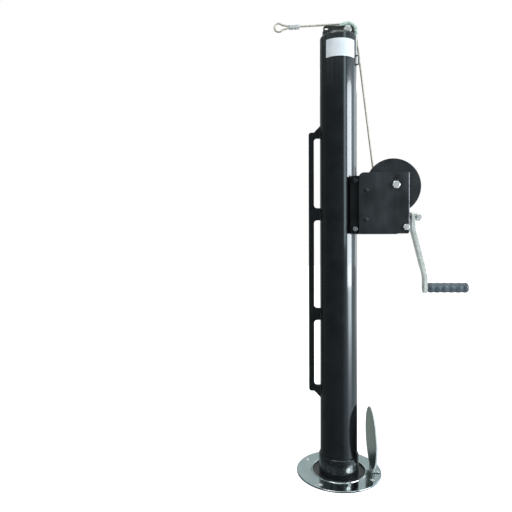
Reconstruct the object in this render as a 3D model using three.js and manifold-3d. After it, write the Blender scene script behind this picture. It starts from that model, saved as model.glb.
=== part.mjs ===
// A tennis net post with its winch, net cable, lacing bar, floor plate, lid and ground sleeve.
// Millimetres, +Z up, +X outwards from the court, -Y towards the viewer.
// The origin is on the post's axis, at the underside of the floor plate.
import * as THREE from "three";
import { mergeVertices } from "three/addons/utils/BufferGeometryUtils.js";
import Module from "manifold-3d";

const wasm = await Module();
wasm.setup();

// Clearances and cuts
const gap = 0.3; // between pieces that touch
const runningGap = 0.5; // round what turns
const overrun = 4; // how far a cutting shape passes the face that it cuts
const sideRoom = 2; // on each side of the pulley
const postRoom = 0.6; // round the tube in the ground sleeve
const slotRoom = 3; // past the pulley's rim
const bushWall = 1.8;

// Post tube
const tube = { radius: 44.45, wall: 3.2, top: 1043, bottom: -230, bevel: 1.2 };
tube.bore = tube.radius - tube.wall;

// Net cable
const cable = { radius: 2.5, slope: THREE.MathUtils.degToRad(2.5), tailLength: 112, notchDepth: 18 };

// Pulley at the top of the post
const pulley = { x: 20.7, rise: 15.5, radius: 25.5, halfWidth: 7, ropeRadius: 21.8, hubRadius: 9, rimFlat: 1.6 };
pulley.z = tube.top + pulley.rise;
pulley.slotHalf = pulley.halfWidth + sideRoom;
pulley.hubHalf = pulley.slotHalf - gap;

// Cap with its two cheek plates
const cap = {
  radius: 38.5,
  height: 6.8,
  plugDepth: 28,
  cheekThickness: 5,
  cheekHeight: 20,
  cheekHalfLength: 37,
  cheekCorner: 10,
  shoulderDrop: 4,
};
cap.base = tube.top + gap;
cap.top = cap.base + cap.height;
const ropeHole = { x: -29.5, rise: 20, halfLength: 4.5, radius: 2.8 };
ropeHole.z = tube.top + ropeHole.rise;

// Bolts: shank radius, width across the flats, head and nut heights
const boltM10 = { radius: 5, flats: 16, head: 6.4, nut: 8 };
const boltM8 = { radius: 4, flats: 13, head: 5.3, nut: 6.5 };
const boltM6 = { radius: 3, flats: 10, head: 4, nut: 5 };
const boltEnd = 2.5; // how far a bolt stands out of its nut
const domeShares = { shoulder: 0.6 };
const screwTurnShare = 0.5; // how far a ring of screws is turned, in shares of its spacing

// Guard staple on the outer side of the tube
const staple = { angle: THREE.MathUtils.degToRad(-25), drop: 57.5, halfHeight: 10.5, wire: 2, reach: 5.6 };
staple.middle = tube.top - staple.drop;

// Lacing bar: a flat bar with legs to the tube
const lacing = {
  thickness: 6.35,
  railWidth: 12.7,
  slotWidth: 14.5,
  legHeight: 30,
  endSlope: 15,
  topDrop: 223,
  upperSlot: 197,
  middleSlot: 241,
  lowerSlot: 187,
};
lacing.topLeg = tube.top - lacing.topDrop;
lacing.thirdLeg = lacing.topLeg - lacing.upperSlot;
lacing.secondLeg = lacing.thirdLeg - lacing.middleSlot;
lacing.legs = [lacing.secondLeg - lacing.lowerSlot, lacing.secondLeg, lacing.thirdLeg, lacing.topLeg];

// Collar that carries the post on the sleeve
const collar = { wall: 2.75, height: 45, bevel: 1.5, screwAngle: THREE.MathUtils.degToRad(-71) };
collar.bore = tube.radius + gap;
collar.radius = collar.bore + collar.wall;
const setScrew = { radius: 3, flats: 10, head: 4.5, height: 24 };

// Floor plate, its screws and the sleeve below it
const plate = { radius: 101.6, thickness: 3.2, ringWidth: 38.1, rim: 1.2 };
plate.hole = plate.radius - plate.ringWidth;
const plateScrew = {
  edgeDistance: 13.6,
  firstAngle: THREE.MathUtils.degToRad(-34),
  count: 4,
  radius: 2.6,
  head: 5,
  headDepth: 2.4,
  length: 19,
  slotWidth: 1.2,
  slotDepth: 0.9,
};
plateScrew.circle = plate.radius - plateScrew.edgeDistance;
const sleeve = { wall: 3.2, depth: 254, flangeInset: 3.6, flangeThickness: 5, drain: 8 };
sleeve.flangeRadius = plate.radius - sleeve.flangeInset;
sleeve.bore = tube.radius + postRoom;
sleeve.radius = sleeve.bore + sleeve.wall;

// Lid and its hinge
const lid = { radius: 71, thickness: 4, bevel: 1, edgeGap: 4 };
const hinge = {
  inset: 21.4,
  pin: 2,
  knuckle: 3.7,
  halfMiddle: 11.4,
  halfLength: 20,
  leaf: 1.5,
  leafLength: 15,
  strapLength: 24,
  rivet: 1.9,
  rivetHead: 3.1,
};
hinge.x = plate.radius - hinge.inset;
hinge.z = plate.thickness + gap + hinge.knuckle;

// Winch housing: a bracket that straddles the tube and two side plates
const steel = { plate: 4 };
const bracket = {
  bottom: 575,
  reachBack: 22.4,
  reachForward: 17,
  boltX: 33,
  boltInset: 11,
  rivetDistance: 13.25,
  rivetInset: 33,
  rivet: 3,
  rivetHead: 5,
  rivetHeight: 1.6,
};
bracket.innerHalf = tube.radius + gap;
bracket.outerHalf = bracket.innerHalf + steel.plate;
bracket.webX = tube.radius + gap;
bracket.rivetX = bracket.webX + bracket.rivetDistance;
const side = {
  left: 41,
  length: 116,
  rise: 7,
  cornerTop: 12,
  cornerBottom: 6,
  accessHole: 7,
  accessRise: 18,
};
side.right = side.left + side.length;
side.bottom = bracket.bottom;
side.inner = bracket.outerHalf + gap;
side.outer = side.inner + steel.plate;
const spacer = { inset: 8.3, rise: 15, radius: 7 };
spacer.x = side.right - spacer.inset;
spacer.z = side.bottom + spacer.rise;

// Worm gear: the wheel stands on the reel, the worm runs below it
const gear = {
  teeth: 36,
  module: 3.25,
  face: 12,
  addendumShare: 0.8,
  dedendumShare: 1.04,
  pressureAngle: THREE.MathUtils.degToRad(20),
  backlash: 0.55,
  wormRadius: 11.5,
  rimWidth: 9.8,
  dish: 4,
  wormTurns: 4.5,
};
gear.wheelRadius = (gear.teeth * gear.module) / 2;
gear.rimInside = gear.wheelRadius - gear.rimWidth;
gear.pitch = Math.PI * gear.module;

// Worm shaft
const worm = {
  rise: 42,
  shaft: 6,
  bush: 9,
  bushFlange: 11,
  bushFlangeThickness: 2.5,
  bearingInset: 6,
  bearingDrop: 18,
  bearingRise: 12.5,
};
worm.z = side.bottom + worm.rise;
worm.bearingX = side.right - worm.bearingInset;

// Reel
const reel = {
  inset: 31.5,
  drop: 29,
  drum: 30.5,
  wall: 3,
  hub: 14,
  flange: 65,
  flangeThickness: 3,
  flangeEdge: 0.75,
  flangeBack: -25,
  drumEnd: 15.7,
  vent: 5,
  ventCircle: 21,
  bushRadius: 10,
  bushFlange: 13,
  bushFlangeThickness: 2,
  bushLength: 16,
};
reel.x = side.right - reel.inset;
worm.y = reel.drumEnd + gap + gear.face / 2;
reel.z = worm.z + gear.wheelRadius + gear.wormRadius;
side.top = reel.z + reel.drop;
bracket.top = side.top - side.rise;
reel.hubHalf = side.inner - gap - reel.bushFlangeThickness - gap;
const wheelScrew = { circle: 21, radius: 3, flats: 10, head: 4, grip: 2 };
const winding = { turns: 5.75, pitch: 5.95, clearance: 0.8, stepsPerTurn: 20, sides: 6 };

// Crank
const crank = {
  distance: 26,
  thickness: 8,
  width: 24,
  throw: 174,
  topReach: 11,
  bottomReach: 13,
  straight: 28,
  offset: 30,
  lowerStraight: 28,
  bendRadius: 40,
  square: 8.4,
  stub: 4,
  nutGap: 5,
  nutHeight: 10,
  nutFlats: 17,
};
crank.x = side.right + crank.distance;
crank.nutX = crank.x + crank.thickness / 2 + crank.nutGap;
const grip = {
  distance: 8.5,
  length: 97,
  radius: 12.4,
  pin: 4,
  bulges: 5,
  bulgeDepth: 0.9,
  endRound: 5,
  pinHead: 7,
  pinHeadHeight: 3,
  borePastPin: 1,
  pinInset: 12,
};
grip.start = crank.x + crank.offset + grip.distance;

// Swaged ferrule and eye at the net end of the cable
const ferrule = { length: 26, radius: 4.2, strandGap: 5.4, bevel: 1 };
const eye = { length: 34, radius: 10 };

// Finishes
function finish(color, metalness, roughness) {
  return new THREE.MeshStandardMaterial({ color, metalness, roughness });
}
const glossBlack = finish(0x16181b, 0.3, 0.2);
const satinBlack = finish(0x24272b, 0.4, 0.45);
const zinc = finish(0xb9c2c0, 0.9, 0.35);
const brightSteel = finish(0xc8ccd0, 1, 0.2);
const chrome = finish(0xdfe3e6, 1, 0.06);
const bronze = finish(0xa9783c, 1, 0.35);
const wireRope = finish(0x9c9a8e, 0.8, 0.5);
const gripPlastic = finish(0x2d3338, 0, 0.5);
const castMetal = finish(0x9aa39c, 0.9, 0.4);

// Shapes and solids
const wideSteps = 40;
const circleSteps = 24;
const smallSteps = 12;
const mergeTolerance = 1e-4;
const full = 2 * Math.PI;

// A closed geometry as a solid that can be cut and joined, with its faces pointing outwards.
function solid(geometry) {
  const bare = geometry.index ? geometry.toNonIndexed() : geometry.clone();
  for (const name of Object.keys(bare.attributes)) {
    if (name !== "position") bare.deleteAttribute(name);
  }
  const merged = mergeVertices(bare, mergeTolerance);
  const places = merged.attributes.position.array;
  const corners = merged.index.array;
  const faces = [];
  let volume = 0;
  const [a, b, c] = [new THREE.Vector3(), new THREE.Vector3(), new THREE.Vector3()];
  for (let i = 0; i < corners.length; i += 3) {
    const [p, q, r] = corners.slice(i, i + 3);
    if (p === q || q === r || r === p) continue;
    a.fromArray(places, 3 * p);
    b.fromArray(places, 3 * q);
    c.fromArray(places, 3 * r);
    volume += a.dot(b.cross(c));
    faces.push([p, q, r]);
  }
  const triVerts = new Uint32Array((volume < 0 ? faces.map((f) => f.reverse()) : faces).flat());
  const mesh = new wasm.Mesh({ numProp: 3, vertProperties: new Float32Array(places), triVerts });
  return new wasm.Manifold(mesh);
}

// A solid as a geometry.
function geometryOf(body) {
  const mesh = body.getMesh();
  const places = new Float32Array(mesh.numVert * 3);
  for (let i = 0; i < mesh.numVert; i++) {
    const from = i * mesh.numProp;
    places.set(mesh.vertProperties.subarray(from, from + 3), 3 * i);
  }
  const made = new THREE.BufferGeometry();
  made.setAttribute("position", new THREE.BufferAttribute(places, 3));
  made.setIndex(new THREE.BufferAttribute(new Uint32Array(mesh.triVerts), 1));
  made.computeVertexNormals();
  return made;
}

function join(...bodies) {
  return bodies.reduce((all, body) => all.add(body));
}

function cut(body, ...tools) {
  return tools.reduce((rest, tool) => rest.subtract(tool), body);
}

// Turns a geometry made along +Z so that it lies along the named axis.
const along = {
  x: new THREE.Matrix4().makeBasis(
    new THREE.Vector3(0, 1, 0),
    new THREE.Vector3(0, 0, 1),
    new THREE.Vector3(1, 0, 0),
  ),
  y: new THREE.Matrix4().makeBasis(
    new THREE.Vector3(0, 0, 1),
    new THREE.Vector3(1, 0, 0),
    new THREE.Vector3(0, 1, 0),
  ),
  z: new THREE.Matrix4(),
};

// A round bar along an axis: centre holds its middle across the axis, from and to its ends.
function bar(axis, radius, from, to, centre, steps = circleSteps) {
  const made = new THREE.CylinderGeometry(radius, radius, to - from, steps);
  made.rotateX(Math.PI / 2);
  made.applyMatrix4(along[axis]);
  const middle = (from + to) / 2;
  const place = { x: [middle, centre[0], centre[1]], y: [centre[0], middle, centre[1]] };
  place.z = [centre[0], centre[1], middle];
  return solid(made.translate(...place[axis]));
}

// A hexagonal bar, such as a nut or a bolt's head, with two faces square to the up direction.
function hexBar(axis, flats, from, to, centre) {
  return bar(axis, flats / Math.sqrt(3), from, to, centre, 6);
}

// A solid of revolution about an axis through centre. The profile holds [radius, place along].
function turned(axis, profile, centre, steps = circleSteps) {
  const points = profile.map(([radius, place]) => new THREE.Vector2(radius, place));
  const made = new THREE.LatheGeometry(points, steps);
  made.rotateX(Math.PI / 2);
  made.applyMatrix4(along[axis]);
  const place = { x: [0, centre[0], centre[1]], y: [centre[0], 0, centre[1]] };
  place.z = [centre[0], centre[1], 0];
  return solid(made.translate(...place[axis]));
}

// A ring between two radii, closed on itself.
function ring(axis, inner, outer, from, to, centre, steps = circleSteps) {
  const profile = [[inner, from], [outer, from], [outer, to], [inner, to], [inner, from]];
  return turned(axis, profile, centre, steps);
}

function box(low, high) {
  const size = high.map((value, i) => value - low[i]);
  const made = new THREE.BoxGeometry(...size);
  return solid(made.translate(...low.map((value, i) => value + size[i] / 2)));
}

// An outline drawn in X and Z, given thickness along Y.
function plateAcrossY(outline, from, to, curveSegments = smallSteps) {
  const settings = { depth: to - from, bevelEnabled: false, curveSegments };
  const made = new THREE.ExtrudeGeometry(outline, settings);
  made.rotateX(Math.PI / 2);
  return solid(made.translate(0, to, 0));
}

// A rectangle with a radius for each corner, from the lower left one anticlockwise.
function roundedRectangle(left, bottom, right, top, radii) {
  const [a, b, c, d] = radii;
  const outline = new THREE.Shape();
  outline.moveTo(left + a, bottom);
  outline.lineTo(right - b, bottom);
  if (b) outline.absarc(right - b, bottom + b, b, -Math.PI / 2, 0, false);
  outline.lineTo(right, top - c);
  if (c) outline.absarc(right - c, top - c, c, 0, Math.PI / 2, false);
  outline.lineTo(left + d, top);
  if (d) outline.absarc(left + d, top - d, d, Math.PI / 2, Math.PI, false);
  outline.lineTo(left, bottom + a);
  if (a) outline.absarc(left + a, bottom + a, a, Math.PI, 1.5 * Math.PI, false);
  return outline;
}

// A bolt along Y with its head on the low side and its nut on the high side.
function boltAcrossY(size, headFace, nutFace, centre) {
  const end = nutFace + gap + size.nut + boltEnd;
  const start = headFace - gap - size.head;
  const shank = bar("y", size.radius, start, end, centre, smallSteps);
  return join(shank, hexBar("y", size.flats, start, headFace - gap, centre));
}

function nutAcrossY(size, face, centre) {
  const nut = hexBar("y", size.flats, face + gap, face + gap + size.nut, centre);
  const hole = bar("y", size.radius + gap, face - overrun, face + size.nut + overrun, centre, smallSteps);
  return cut(nut, hole);
}

// The part and its pieces
const part = new THREE.Group();
function piece(name, body, material, parent = part) {
  const mesh = new THREE.Mesh(geometryOf(body), material);
  mesh.name = name;
  parent.add(mesh);
  return mesh;
}

// Post: the tube, its cap and the pulley
function makeTube() {
  const { radius, bore, top, bottom, bevel } = tube;
  const profile = [
    [bore, bottom],
    [radius - bevel, bottom],
    [radius, bottom + bevel],
    [radius, top - bevel],
    [radius - bevel, top],
    [bore, top],
    [bore, bottom],
  ];
  const shell = turned("z", profile, [0, 0], wideSteps);
  const holes = boltHeights().map((z) => {
    const hole = boltM8.radius + gap;
    return bar("y", hole, -radius - overrun, radius + overrun, [bracket.boltX, z], smallSteps);
  });
  return cut(shell, pulleySlot(), cableNotch(), ...holes);
}

// The space that the pulley turns in, cut into the cap and the top of the tube.
function pulleySlot() {
  const reach = pulley.radius + slotRoom;
  const low = [pulley.x - reach, -pulley.slotHalf, pulley.z - reach];
  return box(low, [tube.radius + overrun, pulley.slotHalf, pulley.z + reach]);
}

// The narrow notch under the slot, where the cable comes close to the tube's wall.
function cableNotch() {
  const half = cable.radius + sideRoom;
  const floor = pulley.z - pulley.radius - slotRoom;
  const inside = tube.radius - tube.wall - overrun;
  return box([inside, -half, floor - cable.notchDepth], [tube.radius + overrun, half, floor + overrun]);
}

function makeCap() {
  const { base, top, radius, plugDepth, shoulderDrop } = cap;
  const plugRadius = tube.bore - gap;
  const profile = [
    [0, base - plugDepth],
    [plugRadius - tube.bevel, base - plugDepth],
    [plugRadius, base - plugDepth + tube.bevel],
    [plugRadius, base],
    [tube.radius - tube.bevel, base],
  ];
  const shoulderSteps = 5;
  for (let i = 1; i <= shoulderSteps; i++) {
    const turn = (i / shoulderSteps) * (Math.PI / 2);
    const run = tube.radius - tube.bevel - radius;
    profile.push([radius + run * Math.cos(turn), base + shoulderDrop * Math.sin(turn)]);
  }
  profile.push([radius, top - tube.bevel], [radius - tube.bevel, top], [0, top]);
  const body = turned("z", profile, [0, 0], wideSteps);
  const cheeks = [-1, 1].map((sideOfPulley) => {
    const { cheekHalfLength: half, cheekHeight, cheekCorner, cheekThickness } = cap;
    const corners = [0, 0, cheekCorner, cheekCorner];
    const outline = roundedRectangle(-half, top - gap, half, top + cheekHeight, corners);
    const inner = sideOfPulley * pulley.slotHalf;
    const outer = sideOfPulley * (pulley.slotHalf + cheekThickness);
    return plateAcrossY(outline, Math.min(inner, outer), Math.max(inner, outer));
  });
  const turnedEnds = bar("z", radius, base - plugDepth, top + cap.cheekHeight + overrun, [0, 0], wideSteps);
  const boltHole = bar("y", boltM10.radius + gap, -radius, radius, [pulley.x, pulley.z], smallSteps);
  const { x, z, halfLength, radius: holeRadius } = ropeHole;
  const hole = roundedRectangle(
    x - halfLength,
    z - holeRadius,
    x + halfLength,
    z + holeRadius,
    [holeRadius, holeRadius, holeRadius, holeRadius],
  );
  const tieHole = plateAcrossY(hole, -radius, radius, 6);
  return cut(join(body, ...cheeks).intersect(turnedEnds), pulleySlot(), boltHole, tieHole);
}

function makePulley() {
  const { x, z, radius, halfWidth, ropeRadius, hubRadius, hubHalf, rimFlat } = pulley;
  const groove = cable.radius + gap;
  const bore = boltM10.radius + bushWall;
  const profile = [
    [bore, -hubHalf],
    [hubRadius, -hubHalf],
    [hubRadius, -halfWidth + rimFlat],
    [radius - rimFlat, -halfWidth],
    [radius, -halfWidth + rimFlat],
  ];
  const grooveSteps = 4;
  for (let i = 0; i <= grooveSteps; i++) {
    const turn = (i / grooveSteps) * Math.PI;
    profile.push([ropeRadius - groove * Math.sin(turn), -groove * Math.cos(turn)]);
  }
  profile.push(
    [radius, halfWidth - rimFlat],
    [radius - rimFlat, halfWidth],
    [hubRadius, halfWidth - rimFlat],
    [hubRadius, hubHalf],
    [bore, hubHalf],
    [bore, -hubHalf],
  );
  return turned("y", profile, [x, z], circleSteps);
}

const cheekFace = pulley.slotHalf + cap.cheekThickness;
piece("post_tube", makeTube(), glossBlack);
piece("top_cap", makeCap(), glossBlack);
piece("pulley", makePulley(), castMetal);
const pulleyBush = [boltM10.radius + gap, boltM10.radius + bushWall - gap, -pulley.hubHalf, pulley.hubHalf];
piece("pulley_bush", ring("y", ...pulleyBush, [pulley.x, pulley.z], smallSteps), bronze);
piece("pulley_bolt", boltAcrossY(boltM10, -cheekFace, cheekFace, [pulley.x, pulley.z]), brightSteel);
piece("pulley_nut", nutAcrossY(boltM10, cheekFace, [pulley.x, pulley.z]), brightSteel);

// A wire bent through corner points, with a round bend at each inner corner.
function bentWire(corners, wireRadius, bendRadius, sides = 8) {
  return tubeThrough(bentPath(corners, bendRadius), wireRadius, sides);
}

// The points of a bent line: straight runs joined by arcs.
function bentPath(corners, bendRadius, bendSteps = 5) {
  const path = [corners[0].clone()];
  for (let i = 1; i < corners.length - 1; i++) {
    const back = corners[i - 1].clone().sub(corners[i]).normalize();
    const on = corners[i + 1].clone().sub(corners[i]).normalize();
    const halfAngle = back.angleTo(on) / 2;
    const setBack = bendRadius / Math.tan(halfAngle);
    const middle = back.clone().add(on).normalize();
    const centre = corners[i].clone().addScaledVector(middle, bendRadius / Math.sin(halfAngle));
    const start = corners[i].clone().addScaledVector(back, setBack).sub(centre);
    const end = corners[i].clone().addScaledVector(on, setBack).sub(centre);
    const sweep = start.angleTo(end);
    const axis = start.clone().cross(end).normalize();
    for (let step = 0; step <= bendSteps; step++) {
      path.push(start.clone().applyAxisAngle(axis, (sweep * step) / bendSteps).add(centre));
    }
  }
  path.push(corners[corners.length - 1].clone());
  return path;
}

// A closed round tube through points, with rings that turn as little as they can.
function tubeThrough(points, radius, sides) {
  const places = [];
  const faces = [];
  let across = null;
  points.forEach((point, i) => {
    const ahead = points[Math.min(i + 1, points.length - 1)];
    const behind = points[Math.max(i - 1, 0)];
    const tangent = ahead.clone().sub(behind).normalize();
    if (!across) {
      const seed = Math.abs(tangent.y) < 0.9 ? new THREE.Vector3(0, 1, 0) : new THREE.Vector3(1, 0, 0);
      across = seed.cross(tangent).normalize();
    }
    across.addScaledVector(tangent, -across.dot(tangent)).normalize();
    const up = tangent.clone().cross(across);
    for (let k = 0; k < sides; k++) {
      const turn = (k / sides) * full;
      const place = point.clone();
      place.addScaledVector(across, radius * Math.cos(turn));
      place.addScaledVector(up, radius * Math.sin(turn));
      places.push(...place.toArray());
    }
  });
  for (let i = 0; i < points.length - 1; i++) {
    for (let k = 0; k < sides; k++) {
      const [a, b] = [i * sides + k, i * sides + ((k + 1) % sides)];
      faces.push(a, b, b + sides, a, b + sides, a + sides);
    }
  }
  const last = (points.length - 1) * sides;
  for (let k = 1; k < sides - 1; k++) {
    faces.push(0, k + 1, k, last, last + k, last + k + 1);
  }
  const made = new THREE.BufferGeometry();
  made.setAttribute("position", new THREE.Float32BufferAttribute(places, 3));
  made.setIndex(faces);
  return solid(made);
}

// Guard staple: a small loop of wire on the tube, welded by its two feet
function makeStaple() {
  const { middle, halfHeight, wire, reach, angle } = staple;
  const foot = tube.radius + gap;
  const corner = (radius, z) => new THREE.Vector3(radius, 0, z);
  const corners = [
    corner(foot, middle - halfHeight),
    corner(foot + reach, middle - halfHeight),
    corner(foot + reach, middle + halfHeight),
    corner(foot, middle + halfHeight),
  ];
  const turn = new THREE.Matrix4().makeRotationZ(angle);
  return bentWire(corners.map((point) => point.applyMatrix4(turn)), wire, wire + gap);
}
piece("guard_staple", makeStaple(), zinc);

// Lacing bar: one flat bar, cut out so that its legs reach the tube
function makeLacingBar() {
  const { thickness, railWidth, slotWidth, legHeight, endSlope, legs } = lacing;
  const inner = -tube.radius - gap;
  const rail = -tube.radius - slotWidth;
  const outer = rail - railWidth;
  const bottom = legs[0] - legHeight / 2;
  const top = legs[legs.length - 1] + legHeight / 2;
  const outline = new THREE.Shape();
  outline.moveTo(inner, bottom);
  outline.lineTo(inner, top);
  outline.lineTo(rail, top - endSlope);
  const round = railWidth / 2;
  outline.absarc(outer + round, top - endSlope - round, round, Math.PI / 2, Math.PI, false);
  outline.lineTo(outer, bottom + endSlope + round);
  outline.absarc(outer + round, bottom + endSlope + round, round, Math.PI, 1.5 * Math.PI, false);
  outline.lineTo(rail, bottom + endSlope);
  outline.lineTo(inner, bottom);
  const body = plateAcrossY(outline, -thickness / 2, thickness / 2, 8);
  const slots = legs.slice(1).map((leg, i) => {
    const low = legs[i] + legHeight / 2;
    const high = leg - legHeight / 2;
    const slotRound = (inner - rail) / 2;
    const slot = roundedRectangle(rail, low, inner + overrun, high, [slotRound, 0, 0, slotRound]);
    return plateAcrossY(slot, -thickness, thickness, 6);
  });
  return cut(body, ...slots);
}
piece("lacing_bar", makeLacingBar(), glossBlack);

// Collar: clamped on the tube by one set screw, it rests on the sleeve's flange
function makeCollar() {
  const { radius, height, bevel, screwAngle } = collar;
  const { bore } = collar;
  const profile = [
    [bore, 0],
    [radius - bevel, 0],
    [radius, bevel],
    [radius, height - bevel],
    [radius - bevel, height],
    [bore, height],
    [bore, 0],
  ];
  const hole = bar("x", setScrew.radius + gap, 0, radius + overrun, [0, setScrew.height], smallSteps);
  return cut(turned("z", profile, [0, 0], wideSteps), turnedAboutZ(hole, screwAngle));
}

function turnedAboutZ(body, angle) {
  return solid(geometryOf(body).applyMatrix4(new THREE.Matrix4().makeRotationZ(angle)));
}

function makeSetScrew() {
  const start = collar.radius + gap;
  const place = [0, setScrew.height];
  const shank = bar("x", setScrew.radius, tube.radius + gap, start + setScrew.head, place, smallSteps);
  const head = hexBar("x", setScrew.flats, start, start + setScrew.head, place);
  return turnedAboutZ(join(shank, head), collar.screwAngle);
}
piece("floor_collar", makeCollar(), glossBlack);
piece("collar_screw", makeSetScrew(), brightSteel);

// Ground set: the sleeve in the floor, the plate over it and the hinged lid
const plateScrewAngles = Array.from({ length: plateScrew.count }, (_, i) => {
  return plateScrew.firstAngle + (i * full) / plateScrew.count;
});

function aroundZ(radius, angle) {
  return [radius * Math.cos(angle), radius * Math.sin(angle)];
}

function makeSleeve() {
  const { bore, radius, depth, wall, flangeRadius, flangeThickness, drain } = sleeve;
  const profile = [
    [drain, -depth],
    [radius, -depth],
    [radius, -gap - flangeThickness],
    [flangeRadius, -gap - flangeThickness],
    [flangeRadius, -gap],
    [bore, -gap],
    [bore, -depth + wall],
    [drain, -depth + wall],
    [drain, -depth],
  ];
  const holes = plateScrewAngles.map((angle) => {
    const place = aroundZ(plateScrew.circle, angle);
    return bar("z", plateScrew.radius + gap, -flangeThickness - overrun, overrun, place, smallSteps);
  });
  return cut(turned("z", profile, [0, 0], wideSteps), ...holes);
}

// The outline of a countersunk screw, larger all round by room.
function screwProfile(room) {
  const { radius, head, headDepth, length } = plateScrew;
  const top = plate.thickness;
  return [
    [0, top - length - room],
    [radius + room, top - length - room],
    [radius + room, top - headDepth - room],
    [head + room, top],
    [head + room, top + room],
    [0, top + room],
  ];
}

function makePlate() {
  const { radius, thickness, hole, rim } = plate;
  const profile = [
    [hole, 0],
    [radius, 0],
    [radius, thickness - rim],
    [radius - rim, thickness],
    [hole + rim, thickness],
    [hole, thickness - rim],
    [hole, 0],
  ];
  const screwHoles = plateScrewAngles.map((angle) => {
    return turned("z", screwProfile(gap), aroundZ(plateScrew.circle, angle), smallSteps);
  });
  const rivetHoles = leafRivets.map((place) => {
    return bar("z", hinge.rivet + gap, -overrun, thickness + overrun, place, smallSteps);
  });
  return cut(turned("z", profile, [0, 0], wideSteps), ...screwHoles, ...rivetHoles);
}

function makePlateScrew(angle) {
  const [x, y] = aroundZ(plateScrew.circle, angle);
  const { head, slotWidth, slotDepth } = plateScrew;
  const half = slotWidth / 2;
  const top = plate.thickness;
  const slot = box([x - head, y - half, top - slotDepth], [x + head, y + half, top + overrun]);
  return cut(turned("z", screwProfile(0), [x, y], smallSteps), slot);
}

// Hinge: a leaf with two knuckles riveted on the plate, a strap with one knuckle riveted on the lid
const hingeAxis = [hinge.x, hinge.z];
const lidMiddleX = hinge.x + plate.thickness + gap + lid.thickness / 2 - hinge.z;
const lidCentreZ = hinge.z + lid.radius + lid.edgeGap;
const strapX = lidMiddleX + lid.thickness / 2 + gap;
const leafRivetY = (hinge.halfMiddle + hinge.halfLength) / 2;
const leafRivets = [-1, 1].map((end) => [hinge.x + hinge.leafLength - hinge.knuckle, end * leafRivetY]);
const strapRivets = [-1, 1].map((end) => [(end * hinge.halfMiddle) / 2, hinge.z + hinge.strapLength]);

function makeHingeLeaf() {
  const { knuckle, halfMiddle, halfLength, leaf, leafLength, pin, x } = hinge;
  const low = plate.thickness + gap;
  const sheet = box([x, -halfLength, low], [x + leafLength, halfLength, low + leaf]);
  const knuckles = bar("y", knuckle, -halfLength, halfLength, hingeAxis, smallSteps);
  const room = halfMiddle + gap;
  const notchLow = [x - knuckle - gap, -room, 0];
  const notch = box(notchLow, [x + knuckle + runningGap, room, hinge.z + knuckle + gap]);
  const bore = bar("y", pin + gap, -halfLength - overrun, halfLength + overrun, hingeAxis, smallSteps);
  const rivetHoles = leafRivets.map((place) => {
    return bar("z", hinge.rivet + gap, 0, low + leaf + overrun, place, smallSteps);
  });
  return cut(join(sheet, knuckles), notch, bore, ...rivetHoles);
}

function makeLidStrap() {
  const { knuckle, halfMiddle, leaf, pin, z, strapLength, rivetHead } = hinge;
  const top = z + strapLength + rivetHead + leaf;
  const outline = roundedRectangle(-halfMiddle, z, halfMiddle, top, [0, 0, rivetHead, rivetHead]);
  const made = new THREE.ExtrudeGeometry(outline, { depth: leaf, bevelEnabled: false, curveSegments: 6 });
  const sheet = solid(made.applyMatrix4(along.x).translate(strapX, 0, 0));
  const middleKnuckle = bar("y", knuckle, -halfMiddle, halfMiddle, hingeAxis, smallSteps);
  const bore = bar("y", pin + gap, -halfMiddle - overrun, halfMiddle + overrun, hingeAxis, smallSteps);
  const rivetHoles = strapRivets.map((place) => {
    return bar("x", hinge.rivet + gap, strapX - overrun, strapX + leaf + overrun, place, smallSteps);
  });
  return cut(join(sheet, middleKnuckle), bore, ...rivetHoles);
}

function makeLid() {
  const { radius, thickness } = lid;
  const half = thickness / 2;
  const bevel = lid.bevel;
  const profile = [
    [0, lidMiddleX - half],
    [radius - bevel, lidMiddleX - half],
    [radius, lidMiddleX - half + bevel],
    [radius, lidMiddleX + half - bevel],
    [radius - bevel, lidMiddleX + half],
    [0, lidMiddleX + half],
  ];
  const rivetHoles = strapRivets.map((place) => {
    return bar("x", hinge.rivet + gap, lidMiddleX - half - overrun, strapX + overrun, place, smallSteps);
  });
  return cut(turned("x", profile, [0, lidCentreZ], wideSteps), ...rivetHoles);
}

// A rivet with a domed head at its far end, along an axis.
function rivetAlong(axis, from, face, place) {
  const { rivet, rivetHead, leaf } = hinge;
  const start = face + gap;
  const profile = [
    [0, from],
    [rivet, from],
    [rivet, start],
    [rivetHead, start],
    [rivetHead * domeShares.shoulder, start + leaf * domeShares.shoulder],
    [0, start + leaf],
  ];
  return turned(axis, profile, place, smallSteps);
}

piece("ground_sleeve", makeSleeve(), satinBlack);
piece("floor_plate", makePlate(), chrome);
plateScrewAngles.forEach((angle, i) => piece(`plate_screw_${i + 1}`, makePlateScrew(angle), brightSteel));
piece("hinge_leaf", makeHingeLeaf(), chrome);
leafRivets.forEach((place, i) => {
  const top = plate.thickness + gap + hinge.leaf;
  piece(`leaf_rivet_${i + 1}`, rivetAlong("z", gap, top, place), chrome);
});
const pinEnd = hinge.halfLength + gap;
piece("hinge_pin", bar("y", hinge.pin, -pinEnd, pinEnd, hingeAxis, smallSteps), brightSteel);
piece("lid", makeLid(), chrome);
piece("lid_strap", makeLidStrap(), chrome);
strapRivets.forEach((place, i) => {
  const face = strapX + hinge.leaf;
  piece(`strap_rivet_${i + 1}`, rivetAlong("x", lidMiddleX - lid.thickness / 2, face, place), chrome);
});

// Winch housing
function boltHeights() {
  return [bracket.bottom + bracket.boltInset, bracket.top - bracket.boltInset];
}

const reelPlace = [reel.x, reel.z];
const rivetHeights = [bracket.bottom + bracket.rivetInset, bracket.top - bracket.rivetInset];
const webFront = bracket.webX + steel.plate;

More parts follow.
